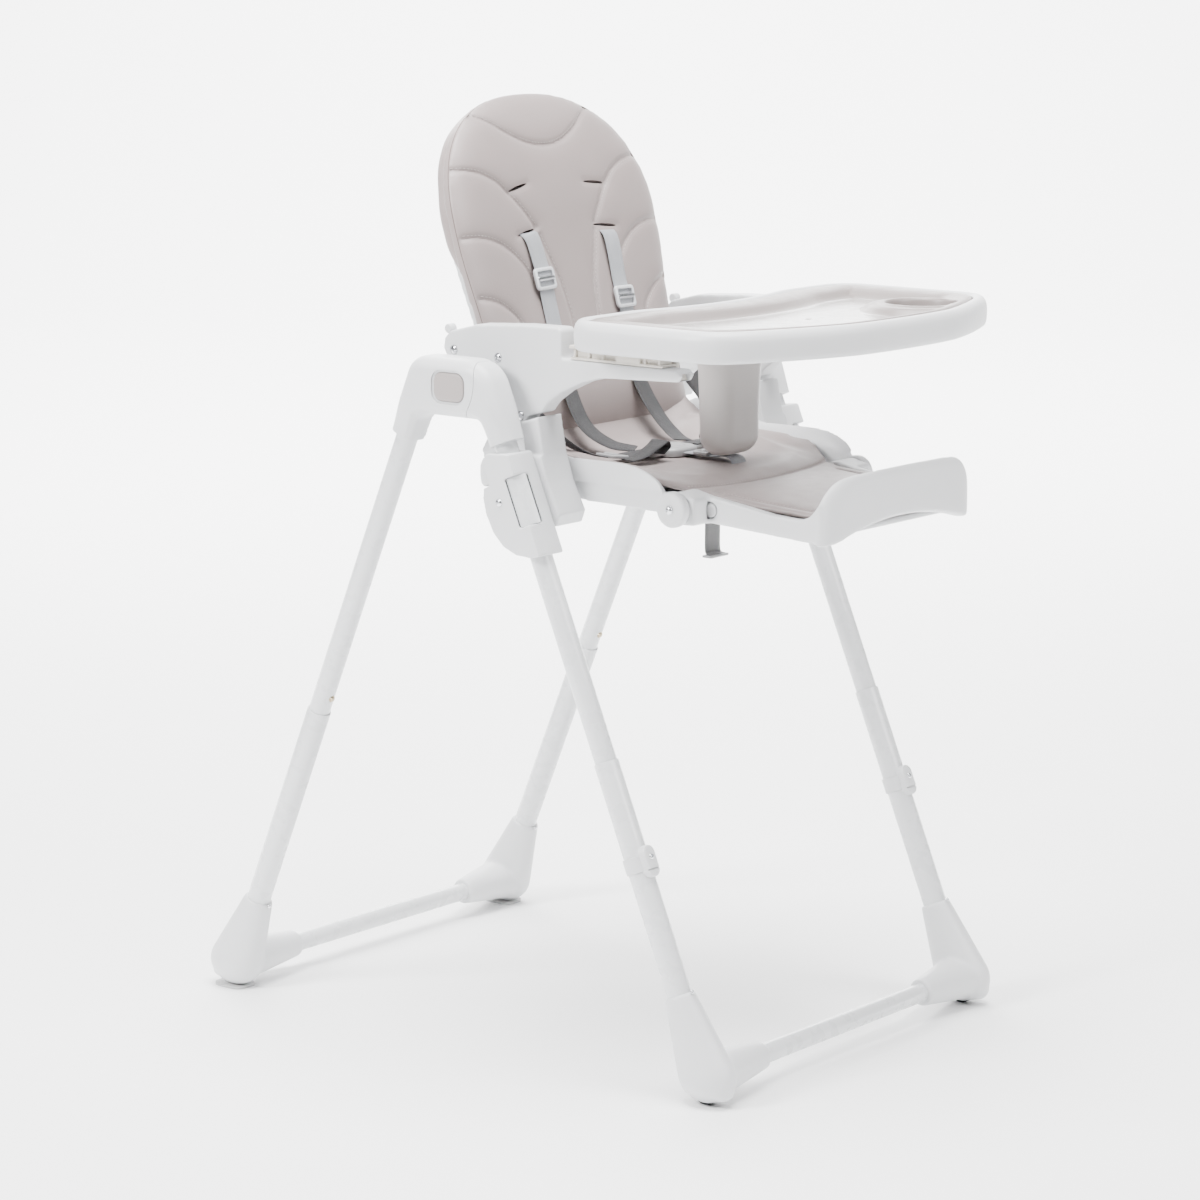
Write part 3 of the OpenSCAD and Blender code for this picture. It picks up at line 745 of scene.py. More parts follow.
def make_side_panels():
    """The panel with its arm, whose open front end holds a cream slide."""
    panel = moulded(cad_copy("panel_l", "side_panel_l"), voxel=1.5 * MM, rounds=14)
    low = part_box("side_panel_l")[0]
    cut(panel, bar(low.y - 0.01, low.y + 0.026, 0.7795, 0.7880, PANEL_IN + 4 * MM, PANEL_OUT - 4 * MM))
    for y, z in PANEL_SCREWS:
        cut(panel, rod((PANEL_OUT - 1.2 * MM, y, z), (PANEL_OUT + 0.01, y, z), 5.6 * MM))
    pair(smooth(apply(round_edges(panel, 0.8 * MM, 2, 50)), 45), "white_plastic", "seat", ["side_panel_{}"])
    front, back = low.y + 0.006, low.y + 0.0255
    slide = prism([(front, 0.7798), (back, 0.7798), (back, 0.7877), (front + 4 * MM, 0.7877)],
                  PANEL_IN + 4.3 * MM, PANEL_OUT - 4.3 * MM, "arm_slide_l")
    pair(crisp(slide, 1 * MM), "cream_plastic", "seat", [])
    profile = in_mm([(0, 4.6), (0.8, 5.4), (9, 5.4), (10, 4.6), (10.2, 2)])
    knob = turned(profile, (PANEL_OUT - 14 * MM, 0.0765, 0.8125), (1, 0, 0), "panel_knob_l", steps=28)
    pair(smooth(knob, 40), "white_plastic", "seat", [])


def make_seat_screws():
    heads = [screw((PANEL_OUT - 1.4 * MM, y, z), (1, 0, 0), 4.8 * MM) for y, z in PANEL_SCREWS]
    heads.append(screw((HUB.x - 0.6 * MM, HUB.y, HUB.z), (1, 0, 0), 4.6 * MM))
    spot = ON_FRONT_LEG @ Vector((ELBOW_OUT - LEG_X - 0.6 * MM, 0.015, -0.056))
    heads.append(screw(spot, (1, 0, 0), 4.5 * MM))
    both(heads, "seat_screw_heads", "steel", "seat", ["seat_screws"])


# ---- seat bucket and footrest ----

HUB = Vector((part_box("footrest_pins")[1].x, -0.217, 0.633))
RIM = [(-0.209, 0.640), (-0.207, 0.655), (-0.199, 0.665), (-0.186, 0.672), (-0.168, 0.6775), (-0.140, 0.679),
       (-0.081, 0.678), (-0.020, 0.690), (0.024, 0.700), (0.044, 0.690), (0.052, 0.676)]


def along(points, value):
    """Height of a line of (y, z) points at y."""
    return float(np.interp(value, [p[0] for p in points], [p[1] for p in points]))


def make_bucket():
    """A flared side wall over a straight rail, on both sides of the floor."""
    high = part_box("seat_bucket")[1]
    out = high.x
    rings = []
    for y in np.linspace(high.y, -0.2085, 56):
        rim, foot = along(RIM, y), along([(-0.209, 0.626), (-0.170, 0.628), (0.066, 0.634)], y)
        crease = min(0.6515, foot + 0.6 * (rim - foot))
        ring = [(out - 13 * MM, foot + 1 * MM), (out - 9.4 * MM, foot), (out - 9 * MM, foot + 3 * MM),
                (out - 9 * MM, crease - 4 * MM), (out - 10.4 * MM, crease - 0.5 * MM)]
        for k in range(1, 8):
            t = k / 8
            ring.append((out - 9.5 * MM * (1 - t ** 0.9), crease + (rim - crease) * t ** 1.1))
        ring += [(out, rim - 0.8 * MM), (out - 0.8 * MM, rim), (out - 2.6 * MM, rim)]
        for k in range(1, 8):
            t = 1 - k / 8
            depth = 4 * MM + 9.5 * MM * (1 - t ** 1.9)
            ring.append((out - depth, crease - 1 * MM + (rim - crease) * t ** 0.85))
        ring.append((out - 13.6 * MM, crease - 3 * MM))
        rings.append([(x, y, z) for x, z in ring])
    wall = loft("wall", rings)
    profile = in_mm([(0, 18.5), (1, 20), (10, 20), (11.4, 19.4), (12, 18)])
    hub = turned(profile, (HUB.x - 13 * MM, HUB.y, HUB.z), (1, 0, 0), steps=48)
    floor = bar(-0.188, high.y, 0.634, 0.640, -0.001, out - 10 * MM)
    ribs = [bar(y, y + 2.5 * MM, 0.630, 0.636, -0.001, out - 11 * MM) for y in np.linspace(-0.15, 0.04, 6)]
    half = join("half", [wall, hub, floor, *ribs])
    other = mirrored(half, "other")
    bucket = moulded(join("seat_shell", [half, other]), voxel=2.0 * MM, rounds=3)
    dress(bucket, "white_plastic", "seat", ["seat_bucket"])


LIP_TOP, LIP_BACK, LIP_FRONT, LIP_LEAN = 0.6775, -0.3820, -0.4022, 0.26
REST_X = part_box("footrest_button_l")[1].x
REST_BUTTON = Vector((REST_X, -0.243, 0.631))


def lip_outline(half, drop=0):
    """Front view of the footrest's lip: rounded shoulders over an arched lower edge."""
    corner, arch_r = 0.040, 0.443
    arch_z = 0.623 - arch_r
    points = []
    for a in np.radians(np.linspace(0, 90, 9)):
        points.append((half - corner + corner * math.cos(a), LIP_TOP - drop - corner + corner * math.sin(a)))
    for x in np.linspace(half - corner - 0.015, -half + corner + 0.015, 7):
        points.append((x, LIP_TOP - drop + 0.0015 * math.cos(x / half * math.pi / 2)))
    for a in np.radians(np.linspace(90, 180, 9)):
        points.append((-half + corner + corner * math.cos(a), LIP_TOP - drop - corner + corner * math.sin(a)))
    points.append((-half, 0.605 + drop / 2))
    for x in np.linspace(-half + 0.016, half - 0.016, 25):
        points.append((x, arch_z + math.sqrt(arch_r ** 2 - x * x) + drop / 2))
    points.append((half, 0.605 + drop / 2))
    return points


def make_footrest():
    rings = []
    rounding = [(0.2 + 0.8 * math.sin(a), 27 * (1 - math.cos(a)), 6 * (1 - math.cos(a)))
                for a in np.radians(np.linspace(0, 90, 9))]
    for t, narrower, drop in [(0, 0.5, 2), (0.1, 0, 0.3), *rounding]:
        ring = []
        for x, z in lip_outline(REST_X - narrower * MM, drop * MM):
            back = LIP_BACK - LIP_LEAN * max(0, z - 0.640)
            ring.append((x, back + (LIP_FRONT - back) * t, z))
        rings.append(ring)
    lip = moulded(loft("lip", rings), voxel=2.0 * MM, rounds=12)
    fillets = []
    for side in SIDES.values():
        curve = [(-0.3900, 0.6520), (-0.3850, 0.6475), (-0.3810, 0.6420), (-0.3750, 0.6365),
                 (-0.3660, 0.6335), (-0.3540, 0.6325)]
        fillets.append(prism([*curve, (-0.3540, 0.6100), (-0.3900, 0.6085)],
                             *sorted((side * (REST_X - 10 * MM), side * (REST_X - 0.2 * MM)))))
    body = cad_copy("body", "footrest")
    cut(body, bar(-0.5, LIP_BACK + 0.006, 0.5, 0.8, -0.3, 0.3))
    body = moulded(body, voxel=1.6 * MM, rounds=6)
    rest = moulded(join("foot_shell", [lip, body, *fillets]), voxel=1.9 * MM, rounds=4)
    for side in SIDES.values():
        x0, x1 = REST_X - 3 * MM, REST_X + 3 * MM
        well = prism([(REST_BUTTON.y + y, REST_BUTTON.z + z) for y, z in rounded_rect(0.019, 0.018, 0.0085)],
                     *sorted((side * x0, side * x1)))
        window = prism([(-0.2430, 0.6210), (-0.2250, 0.6200), (-0.2250, 0.6430), (-0.2430, 0.6410)],
                       *sorted((side * (REST_X - 3.4 * MM), side * x1)))
        cut(cut(rest, well), window)
    dress(rest, "white_plastic", "footrest", ["footrest"])
    profile = in_mm([(0, 7.8), (2.4, 7.8), (3.1, 7.2), (3.4, 6.0), (3.0, 4.6), (2.9, 1)])
    button = turned(profile, (REST_X - 3.1 * MM, REST_BUTTON.y, REST_BUTTON.z), (1, 0, 0), "foot_button_l")
    pair(smooth(button, 50), "white_plastic", "footrest_button_{}", ["footrest_button_{}"])


# ---- tray ----

TRAY_X, TRAY_FRONT, TRAY_BACK = TRAY_HIGH.x, TRAY_LOW.y, TRAY_HIGH.y
TRAY_CENTRE = np.array([0, -0.270])
FRONT_R, BELLY_R, BELLY_D = 0.470, 0.380, 0.022
CORNERS = [(TRAY_X - 0.046, TRAY_BACK - 0.046, 0.046), (TRAY_X - 0.072, TRAY_FRONT + 0.116, 0.072),
           (TRAY_X / 3, TRAY_FRONT + 0.044, 0.044)]
CUP = (0.145, -0.322)
STEPS = 288
LINER_EDGE = 0.0173


def tray_ring(inset, z, shares=None):
    """The tray's outline, inset; shares = (front, side, belly) stretch what goes beyond the rim."""
    angles = np.linspace(0, 2 * np.pi, STEPS, endpoint=False)
    ways = np.column_stack([np.cos(angles), np.sin(angles)])
    inset = np.full(STEPS, float(inset))
    if shares:
        front, side, belly = shares
        stretch = (side + (belly - side) * smoothstep(0.15, 0.8, ways[:, 1])
                   + (front - side) * smoothstep(0.05, 0.75, -ways[:, 1]))
        inset = LINER_EDGE + (inset - LINER_EDGE) * stretch
    turns = np.linspace(0, 2 * np.pi, 240, endpoint=False)
    normals = np.column_stack([np.cos(turns), np.sin(turns)])
    reach = np.full(len(turns), -1.0)
    for x, y, r in CORNERS:
        for sign in (-1, 1):
            reach = np.maximum(reach, normals @ (np.array([sign * x, y]) - TRAY_CENTRE) + r)
    facing = ways @ normals.T
    distances = (reach[None, :] - inset[:, None]) / np.maximum(facing, 0.02)
    hulls = np.where(facing > 0.02, distances, 9).min(axis=1)

    def hit(centre_y, radius, far):
        shift = TRAY_CENTRE - np.array([0, centre_y])
        b = ways @ shift
        inside = b * b - (shift @ shift - radius ** 2)
        root = np.sqrt(np.maximum(inside, 0))
        found = -b + root if far else -b - root
        return np.where((inside > 0) & (found > 0), found, 9)

    front = hit(TRAY_FRONT + FRONT_R, FRONT_R - inset, True)
    belly = hit(TRAY_BACK + BELLY_R - BELLY_D, BELLY_R + inset, False)
    soft = 0.007
    powers = sum(np.exp(-(d - hulls) / soft) for d in (hulls, front, belly))
    radius = hulls - soft * np.log(powers) + soft * 0.25
    radius = np.minimum(radius, np.minimum(hulls, np.minimum(front, belly)) + 0.0005)
    points = TRAY_CENTRE + ways * radius[:, None]
    return [(x, y, z) for x, y in points]


def shrunk(ring, scale, z):
    """A ring drawn in towards the tray's centre, at height z."""
    return [(p[0] * scale, TRAY_CENTRE[1] + (p[1] - TRAY_CENTRE[1]) * scale, z) for p in ring]


def make_tray():
    """A shell with a rounded rim, and shallow ribs under its floor."""
    z0 = TRAY_LOW.z
    rim = [(0.0145, 0.003), (0.0140, 0.0006), (0.012, 0), (0.007, 0), (0.0040, 0.0007), (0.0018, 0.0025),
           (0.0006, 0.006), (0.0001, 0.011), (0, 0.018), (0.0005, 0.024), (0.0018, 0.0285),
           (0.0042, 0.0318), (0.0075, 0.0336), (0.011, 0.0340), (0.0140, 0.0330), (0.0158, 0.0312),
           (0.0160, 0.027), (0.0160, 0.006), (0.018, 0.005)]
    rings = [tray_ring(inset, z0 + up) for inset, up in rim]
    for scale in (0.7, 0.35, 0.04):
        rings.append(shrunk(rings[-1], scale, z0 + 0.005))
    inner = tray_ring(0.0146, z0 + 0.0030)
    under = [shrunk(inner, k, z0 + 0.0030) for k in (0.04, 0.35, 0.7)]
    tray = loft("tray_shell", [*under, *rings])
    low, high = z0 + 0.0008, z0 + 0.004
    ribs = [bar(-0.385 + abs(x) * 0.12, -0.165, low, high, x - 1 * MM, x + 1 * MM)
            for x in np.linspace(-0.16, 0.16, 5)]
    ribs += [bar(y, y + 2 * MM, low, high, -0.20, 0.20) for y in (-0.34, -0.29, -0.24)]
    dress(smooth(join("tray_shell", [tray, *ribs]), 40), "white_plastic", "tray", ["tray_base"])


def make_liner():
    """The lift-out liner: a broad lip, a sunken floor, and a raised corner with the cup ring."""
    top = LINER_TOP
    shares = (0.55, 1.5, 1.6)
    floor_z, corner_z = top - 11 * MM, top - 2.4 * MM
    lip = [(0, -10), (0, -2.5), (1, -0.8), (3.4, 0.6), (8, 1.3), (14, 0.5), (18, -0.9), (21, -3),
           (23.5, -6), (26, -8.8), (29, -10.4), (33, -11)]
    cup = Vector(CUP)

    def raised(points):
        """The corner round the cup stands above the floor."""
        ring = []
        for x, y, z in points:
            away = (Vector((x, y)) - cup).length
            level = corner_z - (corner_z - floor_z) * float(smoothstep(0.057, 0.071, away))
            ring.append((x, y, max(z, level)))
        return ring

    rings = [tray_ring(LINER_EDGE, top - 10 * MM)]
    for inset, deep in lip[1:]:
        ring = tray_ring(LINER_EDGE + inset * MM, top + deep * MM, shares)
        rings.append(raised(ring) if inset > 14 else ring)
    last = rings[-1]
    rings += [raised(shrunk(last, k, floor_z)) for k in np.linspace(0.96, 0.02, 48)]
    lower = [shrunk(last, k, floor_z - 2.6 * MM) for k in (0.02, 0.5, 0.98)]
    lower.append(tray_ring(LINER_EDGE + 16 * MM, top - 13.2 * MM, shares))
    lower.append(tray_ring(LINER_EDGE + 4 * MM, top - 11 * MM))
    shell = loft("liner", [*rings, *lower, rings[0]], caps=False)
    cut(shell, turned([(0, 0.0405), (0.1, 0.0405)], (*CUP, top - 21 * MM), (0, 0, 1), steps=64))
    # The cup ring's section as (depth below the liner's top, radius), both in millimetres
    section = [(21, 2), (21, 38.5), (19, 40), (10, 42.5), (4, 49), (2.4, 48.8), (1.2, 47.4), (0.3, 45.2),
               (0.2, 43.6), (0.9, 41.8), (3, 40.4), (8, 39.6), (15, 38.8), (17.4, 36.5), (18.2, 33),
               (18.2, 2)]
    well = turned([(-deep * MM, r * MM) for deep, r in section], (*CUP, top), (0, 0, 1), "well", steps=64)
    liner = moulded(join("tray_insert", [shell, well]), voxel=1.7 * MM, rounds=3)
    dress(liner, "taupe_plastic", "tray_liner", ["tray_liner"])
    # The sunken floor's upward faces take the lighter taupe: a painted reflection
    liner.data.materials.append(MATERIALS["liner_floor"])
    for face in liner.data.polygons:
        at = face.center
        face.material_index = int(abs(at.z - floor_z) < 0.7 * MM and face.normal.z > 0.95)


def make_post():
    low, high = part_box("crotch_post")
    centre_y = (low.y + high.y) / 2
    rings = []
    for t in np.linspace(0, 1, 24):
        drop = (high.z - 0.0225 - low.z) * t
        z = high.z - drop
        half_x = 0.0415 - 0.0035 * smoothstep(0, 1, np.array(t)) + 0.003 * (1 - t) ** 6
        half_y = 0.0245 - 0.0020 * t + 0.002 * (1 - t) ** 6
        rings.append((half_x, half_y, z))
    for a in np.radians(np.linspace(8, 88, 10)):
        half_x, half_y, z = rings[23]
        depth = half_y * max(0.12, math.cos(a)) ** 0.8
        rings.append((half_x - 0.0225 * (1 - math.cos(a)), depth, z - 0.0222 * math.sin(a)))
    skin = []
    for half_x, half_y, z in rings:
        shape = rounded_rect(2 * half_x, 2 * half_y, min(half_x, half_y) * 0.86)
        skin.append([(x, centre_y + y, z) for x, y in shape])
    post = smooth(loft("leg_divider", skin), 50)
    # The post takes a lighter copy of the taupe plastic: painted light, as it hangs in the tray's shade
    dress(post, "taupe_plastic", "tray", ["crotch_post"], "post_plastic")


def make_runners():
    """Cream rails under the tray, ribbed, that ride on the arms."""
    low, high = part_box("tray_runners")
    y0, y1 = low.y, high.y
    rail = bar(y0, y1, 0.7926, 0.7955, PANEL_IN, PANEL_OUT)
    head = bar(y0, y1, 0.8050, 0.8085, PANEL_IN + 2 * MM, PANEL_OUT + 3 * MM)
    web = bar(y0 + 0.004, y1 - 0.004, 0.794, 0.806, PANEL_IN + 3 * MM, PANEL_OUT - 4 * MM)
    ribs = [bar(y, y + 0.003, 0.794, 0.806, PANEL_IN + 3 * MM, PANEL_OUT - 1 * MM)
            for y in np.linspace(y0 + 0.003, y1 - 0.006, 7)]
    lock = bar(y0 + 0.030, y0 + 0.062, 0.7945, 0.8065, PANEL_OUT - 7 * MM, PANEL_OUT)
    inside = low.x if low.x > 0 else PANEL_IN - 6 * MM
    skirt = bar(y0, y1, 0.7842, 0.8085, inside, PANEL_IN - 0.5 * MM)
    left = join("left", [rail, head, web, *ribs, lock, skirt])
    left = crisp(left, 0.6 * MM, 2)
    both([left], "tray_rails", "cream_plastic", "tray", ["tray_runners"])
    low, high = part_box("tray_trigger")
    shape = rounded_rect(high.x - low.x, high.y - low.y, 8 * MM)
    middle = (low + high) / 2
    layers = ((low.z, 0.90, 0.70), (low.z + 0.6 * MM, 0.95, 0.84), (low.z + 2 * MM, 0.985, 0.95),
              (low.z + 4 * MM, 1, 1), (high.z, 1, 1))
    rings = [[(x * wide, middle.y + y * deep, z) for x, y in shape] for z, wide, deep in layers]
    dress(smooth(loft("tray_grip", rings), 40), "cream_plastic", "tray_trigger", ["tray_trigger"])


def make_back_shell():
    """The shell and its lever, bent like the cover in front of them."""
    shell = moulded(cad_copy("back_panel", "backrest_shell"), voxel=2.0 * MM, rounds=7)
    lever = moulded(cad_copy("recline_grip", "recline_lever"), voxel=1.2 * MM, rounds=8)
    for obj in (shell, lever):
        obj.data.transform(ON_BACK.inverted())
        bend_back(obj)
    dress(shell, "white_plastic", "backrest", ["backrest_shell"])
    dress(lever, "white_plastic", "recline_lever", ["recline_lever"])


# ---- padding ----

BACK_HALF, BACK_TOP, WIDE_AT = 0.176, 0.402, 0.250
HEAD_SEAM = [(-0.122, 0.389), (-0.104, 0.382), (-0.082, 0.371), (-0.060, 0.357), (-0.030, 0.3435), (0, 0.339)]
SIDE_SEAMS = [
    [(0.168, 0.320), (0.145, 0.317), (0.122, 0.311), (0.100, 0.299), (0.081, 0.280), (0.066, 0.262),
     (0.053, 0.244)],
    [(0.173, 0.241), (0.150, 0.239), (0.130, 0.234), (0.110, 0.224), (0.092, 0.208), (0.080, 0.190),
     (0.075, 0.170)],
    [(0.165, 0.171), (0.148, 0.166), (0.132, 0.157), (0.116, 0.142), (0.106, 0.122), (0.102, 0.100)],
    [(0.050, 0.234), (0.041, 0.208), (0.031, 0.180), (0.026, 0.150), (0.024, 0.120), (0.024, 0.085)],
]
# The strap slits as pairs of ends, on the near side and on the far side
SLITS = [((-0.086, 0.288), (-0.053, 0.295)), ((-0.089, 0.236), (-0.055, 0.242)),
         ((0.087, 0.288), (0.047, 0.2915)), ((0.089, 0.236), (0.050, 0.2405))]
BEND_FROM, BEND = 0.250, 0.62
PAD_EDGE_Y, PAD_BACK_Y, PAD_CROWN = 8 * MM, 21 * MM, 12 * MM


def back_half(s):
    """Half the backrest's width at height s along it."""
    if s > WIDE_AT:
        t = min(1.0, (s - WIDE_AT) / (BACK_TOP - WIDE_AT))
        return BACK_HALF * (1 - t ** 2.3) ** (1 / 2.3)
    if s > 0.1:
        return BACK_HALF - 0.007 + 0.007 * math.cos(math.pi * (WIDE_AT - s) / 0.15)
    return BACK_HALF - 0.018 + s / 25


def bent(y, s):
    """Depth behind the backrest's plane after its top is bent back."""
    return y + BEND * max(0, s - BEND_FROM) ** 2


def bend_back(obj):
    """Bends a piece drawn in the backrest's frame, and puts it in place."""
    for v in obj.data.vertices:
        v.co.y = bent(v.co.y, v.co.z)
    obj.data.transform(ON_BACK)
    obj.data.update()
    return obj


def resampled(points, step):
    """Points at even distances along a line."""
    points = np.array(points, float)
    lengths = np.concatenate([[0], np.cumsum(np.linalg.norm(np.diff(points, axis=0), axis=1))])
    wanted = np.linspace(0, lengths[-1], max(2, int(round(lengths[-1] / step)) + 1))
    return np.column_stack([np.interp(wanted, lengths, points[:, k]) for k in range(points.shape[1])])


def flowing(points, step=4 * MM):
    """A smooth line through the points, with even steps."""
    p = np.array(points, float)
    p = np.vstack([2 * p[0] - p[1], p, 2 * p[-1] - p[-2]])
    line = []
    for i in range(1, len(p) - 2):
        a, b, c, d = p[i - 1:i + 3]
        for t in np.linspace(0, 1, 12, endpoint=False):
            bow, twist = 2 * a - 5 * b + 4 * c - d, 3 * b - a - 3 * c + d
            line.append(0.5 * (2 * b + (c - a) * t + bow * t ** 2 + twist * t ** 3))
    return resampled([*line, p[-2]], step)


def sideways(path):
    """Unit steps to one side of a path."""
    way = np.gradient(path, axis=0)
    way /= np.linalg.norm(way, axis=1)[:, None]
    return np.column_stack([-way[:, 1], way[:, 0]])


def back_path(foot, step=4 * MM, grow=0):
    """The outline of the backrest as (x, s), from its left foot over the top to the other foot."""
    heights = [*np.linspace(foot, 0.36, 60), *(BACK_TOP - (BACK_TOP - 0.36) * np.linspace(1, 0, 40) ** 2)[1:]]
    left = [(-back_half(s), s) for s in heights]
    path = resampled(left + [(-x, s) for x, s in left[-2::-1]], step)
    return path + sideways(path) * grow


def nearest(places, line):
    """Distance of each place to the nearest point of the line."""
    tree = KDTree(len(line))
    for k, p in enumerate(line):
        tree.insert((p[0], p[1], 0), k)
    tree.balance()
    return np.array([tree.find((p[0], p[1], 0))[2] for p in places])


def read(obj):
    return np.array([v.co[:] for v in obj.data.vertices])


def write(obj, places):
    obj.data.vertices.foreach_set("co", np.asarray(places, np.float32).ravel())
    obj.data.update()


def inflate(obj, held, cap):
    """Blows the pad up as cloth under pressure; held vertices stay, and none moves further than cap."""
    start = read(obj)
    group = obj.vertex_groups.new(name="held")
    group.add([int(k) for k in np.nonzero(held)[0]], 1, "REPLACE")
    cloth = modify(obj, "CLOTH")
    settings = cloth.settings
    settings.quality = 5
    settings.mass = 0.3
    settings.tension_stiffness = settings.compression_stiffness = 12
    settings.bending_stiffness = 4
    settings.use_pressure = True
    settings.uniform_pressure_force = 4
    settings.vertex_group_mass = "held"
    settings.effector_weights.gravity = 0
    cloth.collision_settings.use_collision = False
    cloth.point_cache.frame_start, cloth.point_cache.frame_end = 1, 20
    for number in range(1, 21):
        bpy.context.scene.frame_set(number)
    graph = bpy.context.evaluated_depsgraph_get()
    puffed = np.array([v.co[:] for v in obj.evaluated_get(graph).data.vertices])
    obj.modifiers.clear()
    obj.vertex_groups.clear()
    bpy.context.scene.frame_set(1)
    move = puffed - start
    length = np.linalg.norm(move, axis=1)[:, None]
    write(obj, start + move * np.minimum(1, cap / np.maximum(length, 1e-9)))
    return obj


def refined(obj):
    modify(obj, "SUBSURF", levels=1, render_levels=1)
    apply(obj)
    obj.data.shade_smooth()
    return obj


def sewn(places, line_distance, way, depth, width):
    """Pushes places near a seam inwards: a narrow groove in a wide soft valley."""
    groove = depth * np.exp(-(line_distance / width) ** 2)
    valley = 0.45 * depth * np.exp(-(line_distance / (3.4 * width)) ** 2)
    return places + way * (groove + valley)[:, None]


def stitch(start, end, out, radius=0.42 * MM):
    """One stitch: a short bowed thread from start to end."""
    along = (end - start).normalized()
    aside = along.cross(out).normalized()
    verts = []
    bow = ((0, 0.35, -0.3), (0.15, 0.85, 0.35), (0.5, 1.0, 0.6), (0.85, 0.85, 0.35), (1, 0.35, -0.3))
    for t, r, lift in bow:
        centre = start.lerp(end, t) + out * lift * radius
        for k in range(6):
            a = k * math.pi / 3
            verts.append(centre + (aside * math.cos(a) + out * math.sin(a)) * radius * r)
    return verts, ring_faces(5, 6)


def stitching(name, lines, surface, aim, out, pitch=5 * MM, share=0.62):
    """Stitches along lines of places, dropped on the surface against the way out."""
    tree = BVHTree.FromObject(surface, bpy.context.evaluated_depsgraph_get())
    verts, faces = [], []
    for line in lines:
        points = [aim(p) for p in resampled(line, pitch)]
        for a, b in zip(points, points[1:]):
            ends = [tree.ray_cast(spot + out * 0.05, -out, 0.1)[0] for spot in (a, a.lerp(b, share))]
            if None in ends:
                continue
            made, sides = stitch(ends[0] + out * 0.1 * MM, ends[1] + out * 0.1 * MM, out)
            faces += [tuple(i + len(verts) for i in face) for face in sides]
            verts += made
    obj = new_object(name, verts, faces)
    obj.data.shade_smooth()
    return obj


def back_seams():
    head = flowing(HEAD_SEAM + [(-x, s) for x, s in HEAD_SEAM[-2::-1]], 2 * MM)
    sides = [flowing(line, 2 * MM) for line in SIDE_SEAMS]
    return [head, *sides, *[line * (-1, 1) for line in sides]]


def make_back_pad():
    """The padded front of the cover, its side band and the hem behind."""
    outline = back_path(0.006, grow=2.2 * MM)
    verts = [(x, y, s) for y in (PAD_EDGE_Y - PAD_CROWN, PAD_BACK_Y) for x, s in outline]
    n = len(outline)
    slab = new_object("back_pad", verts, [tuple(range(n)), tuple(range(n, 2 * n))[::-1],
                                          *[(i, i + n, (i + 1) % n + n, (i + 1) % n) for i in range(n)]])
    modify(slab, "REMESH", mode="VOXEL", voxel_size=5 * MM)
    pad = apply(slab)
    edge = [*outline, *resampled([outline[-1], outline[0]], 4 * MM)]
    p = read(pad)
    from_edge = nearest(p[:, [0, 2]], edge)
    fullness = 0.18 + 0.82 * (1 - np.exp(-from_edge / 0.015))
    front = p[:, 1] < PAD_EDGE_Y
    p[front, 1] = PAD_EDGE_Y - (PAD_EDGE_Y - p[front, 1]) * fullness[front]
    write(pad, p)
    modify(pad, "SMOOTH", factor=0.5, iterations=5)
    apply(pad)
    seams = back_seams()
    sewing = np.vstack(seams)
    p = read(pad)
    held = (p[:, 1] > PAD_EDGE_Y - 2 * MM) | (nearest(p[:, [0, 2]], sewing) < 4 * MM)
    inflate(pad, held, 5 * MM)
    refined(pad)
    p = read(pad)
    front = p[:, 1] < PAD_EDGE_Y - 1 * MM
    near = np.where(front, nearest(p[:, [0, 2]], sewing), 1)
    p = sewn(p, near, np.array([0, 1.0, 0]), 2.6 * MM, 3.2 * MM)
    slits = [resampled(ends, 1.5 * MM) for ends in SLITS]
    near = np.where(front, nearest(p[:, [0, 2]], np.vstack(slits)), 1)
    p = sewn(p, near, np.array([0, 1.0, 0]), 1.5 * MM, 4.5 * MM)
    write(pad, p)
    cutters = []
    for line in slits:
        a, b = Vector((line[0][0], 0, line[0][1])), Vector((line[-1][0], 0, line[-1][1]))
        along, middle = (b - a) / 2, (a + b) / 2
        aside = Vector((-along.z, 0, along.x)).normalized()
        turns = np.linspace(0, 2 * math.pi, 20, endpoint=False)
        lens = [middle + along * math.cos(t) + aside * 1.9 * MM * math.sin(t) for t in turns]
        cutters.append(loft("slit", [[q + Vector((0, y, 0)) for q in lens] for y in (-0.03, 0.016)]))
    cut(pad, join("slits", cutters))
    pad.data.shade_smooth()
    bend_back(pad)
    dress(pad, "faux_leather", "backrest", ["backrest_cushion"])
    out = ON_BACK.to_3x3() @ Vector((0, -1, 0))
    lines = [line + sideways(line) * 2.6 * MM for line in seams]
    threads = stitching("back_stitches", lines, pad, lambda q: ON_BACK @ Vector((q[0], 0, q[1])), out)
    dress(threads, "faux_leather", "backrest", [], "thread")
    make_back_band()
    make_piping()
    return pad


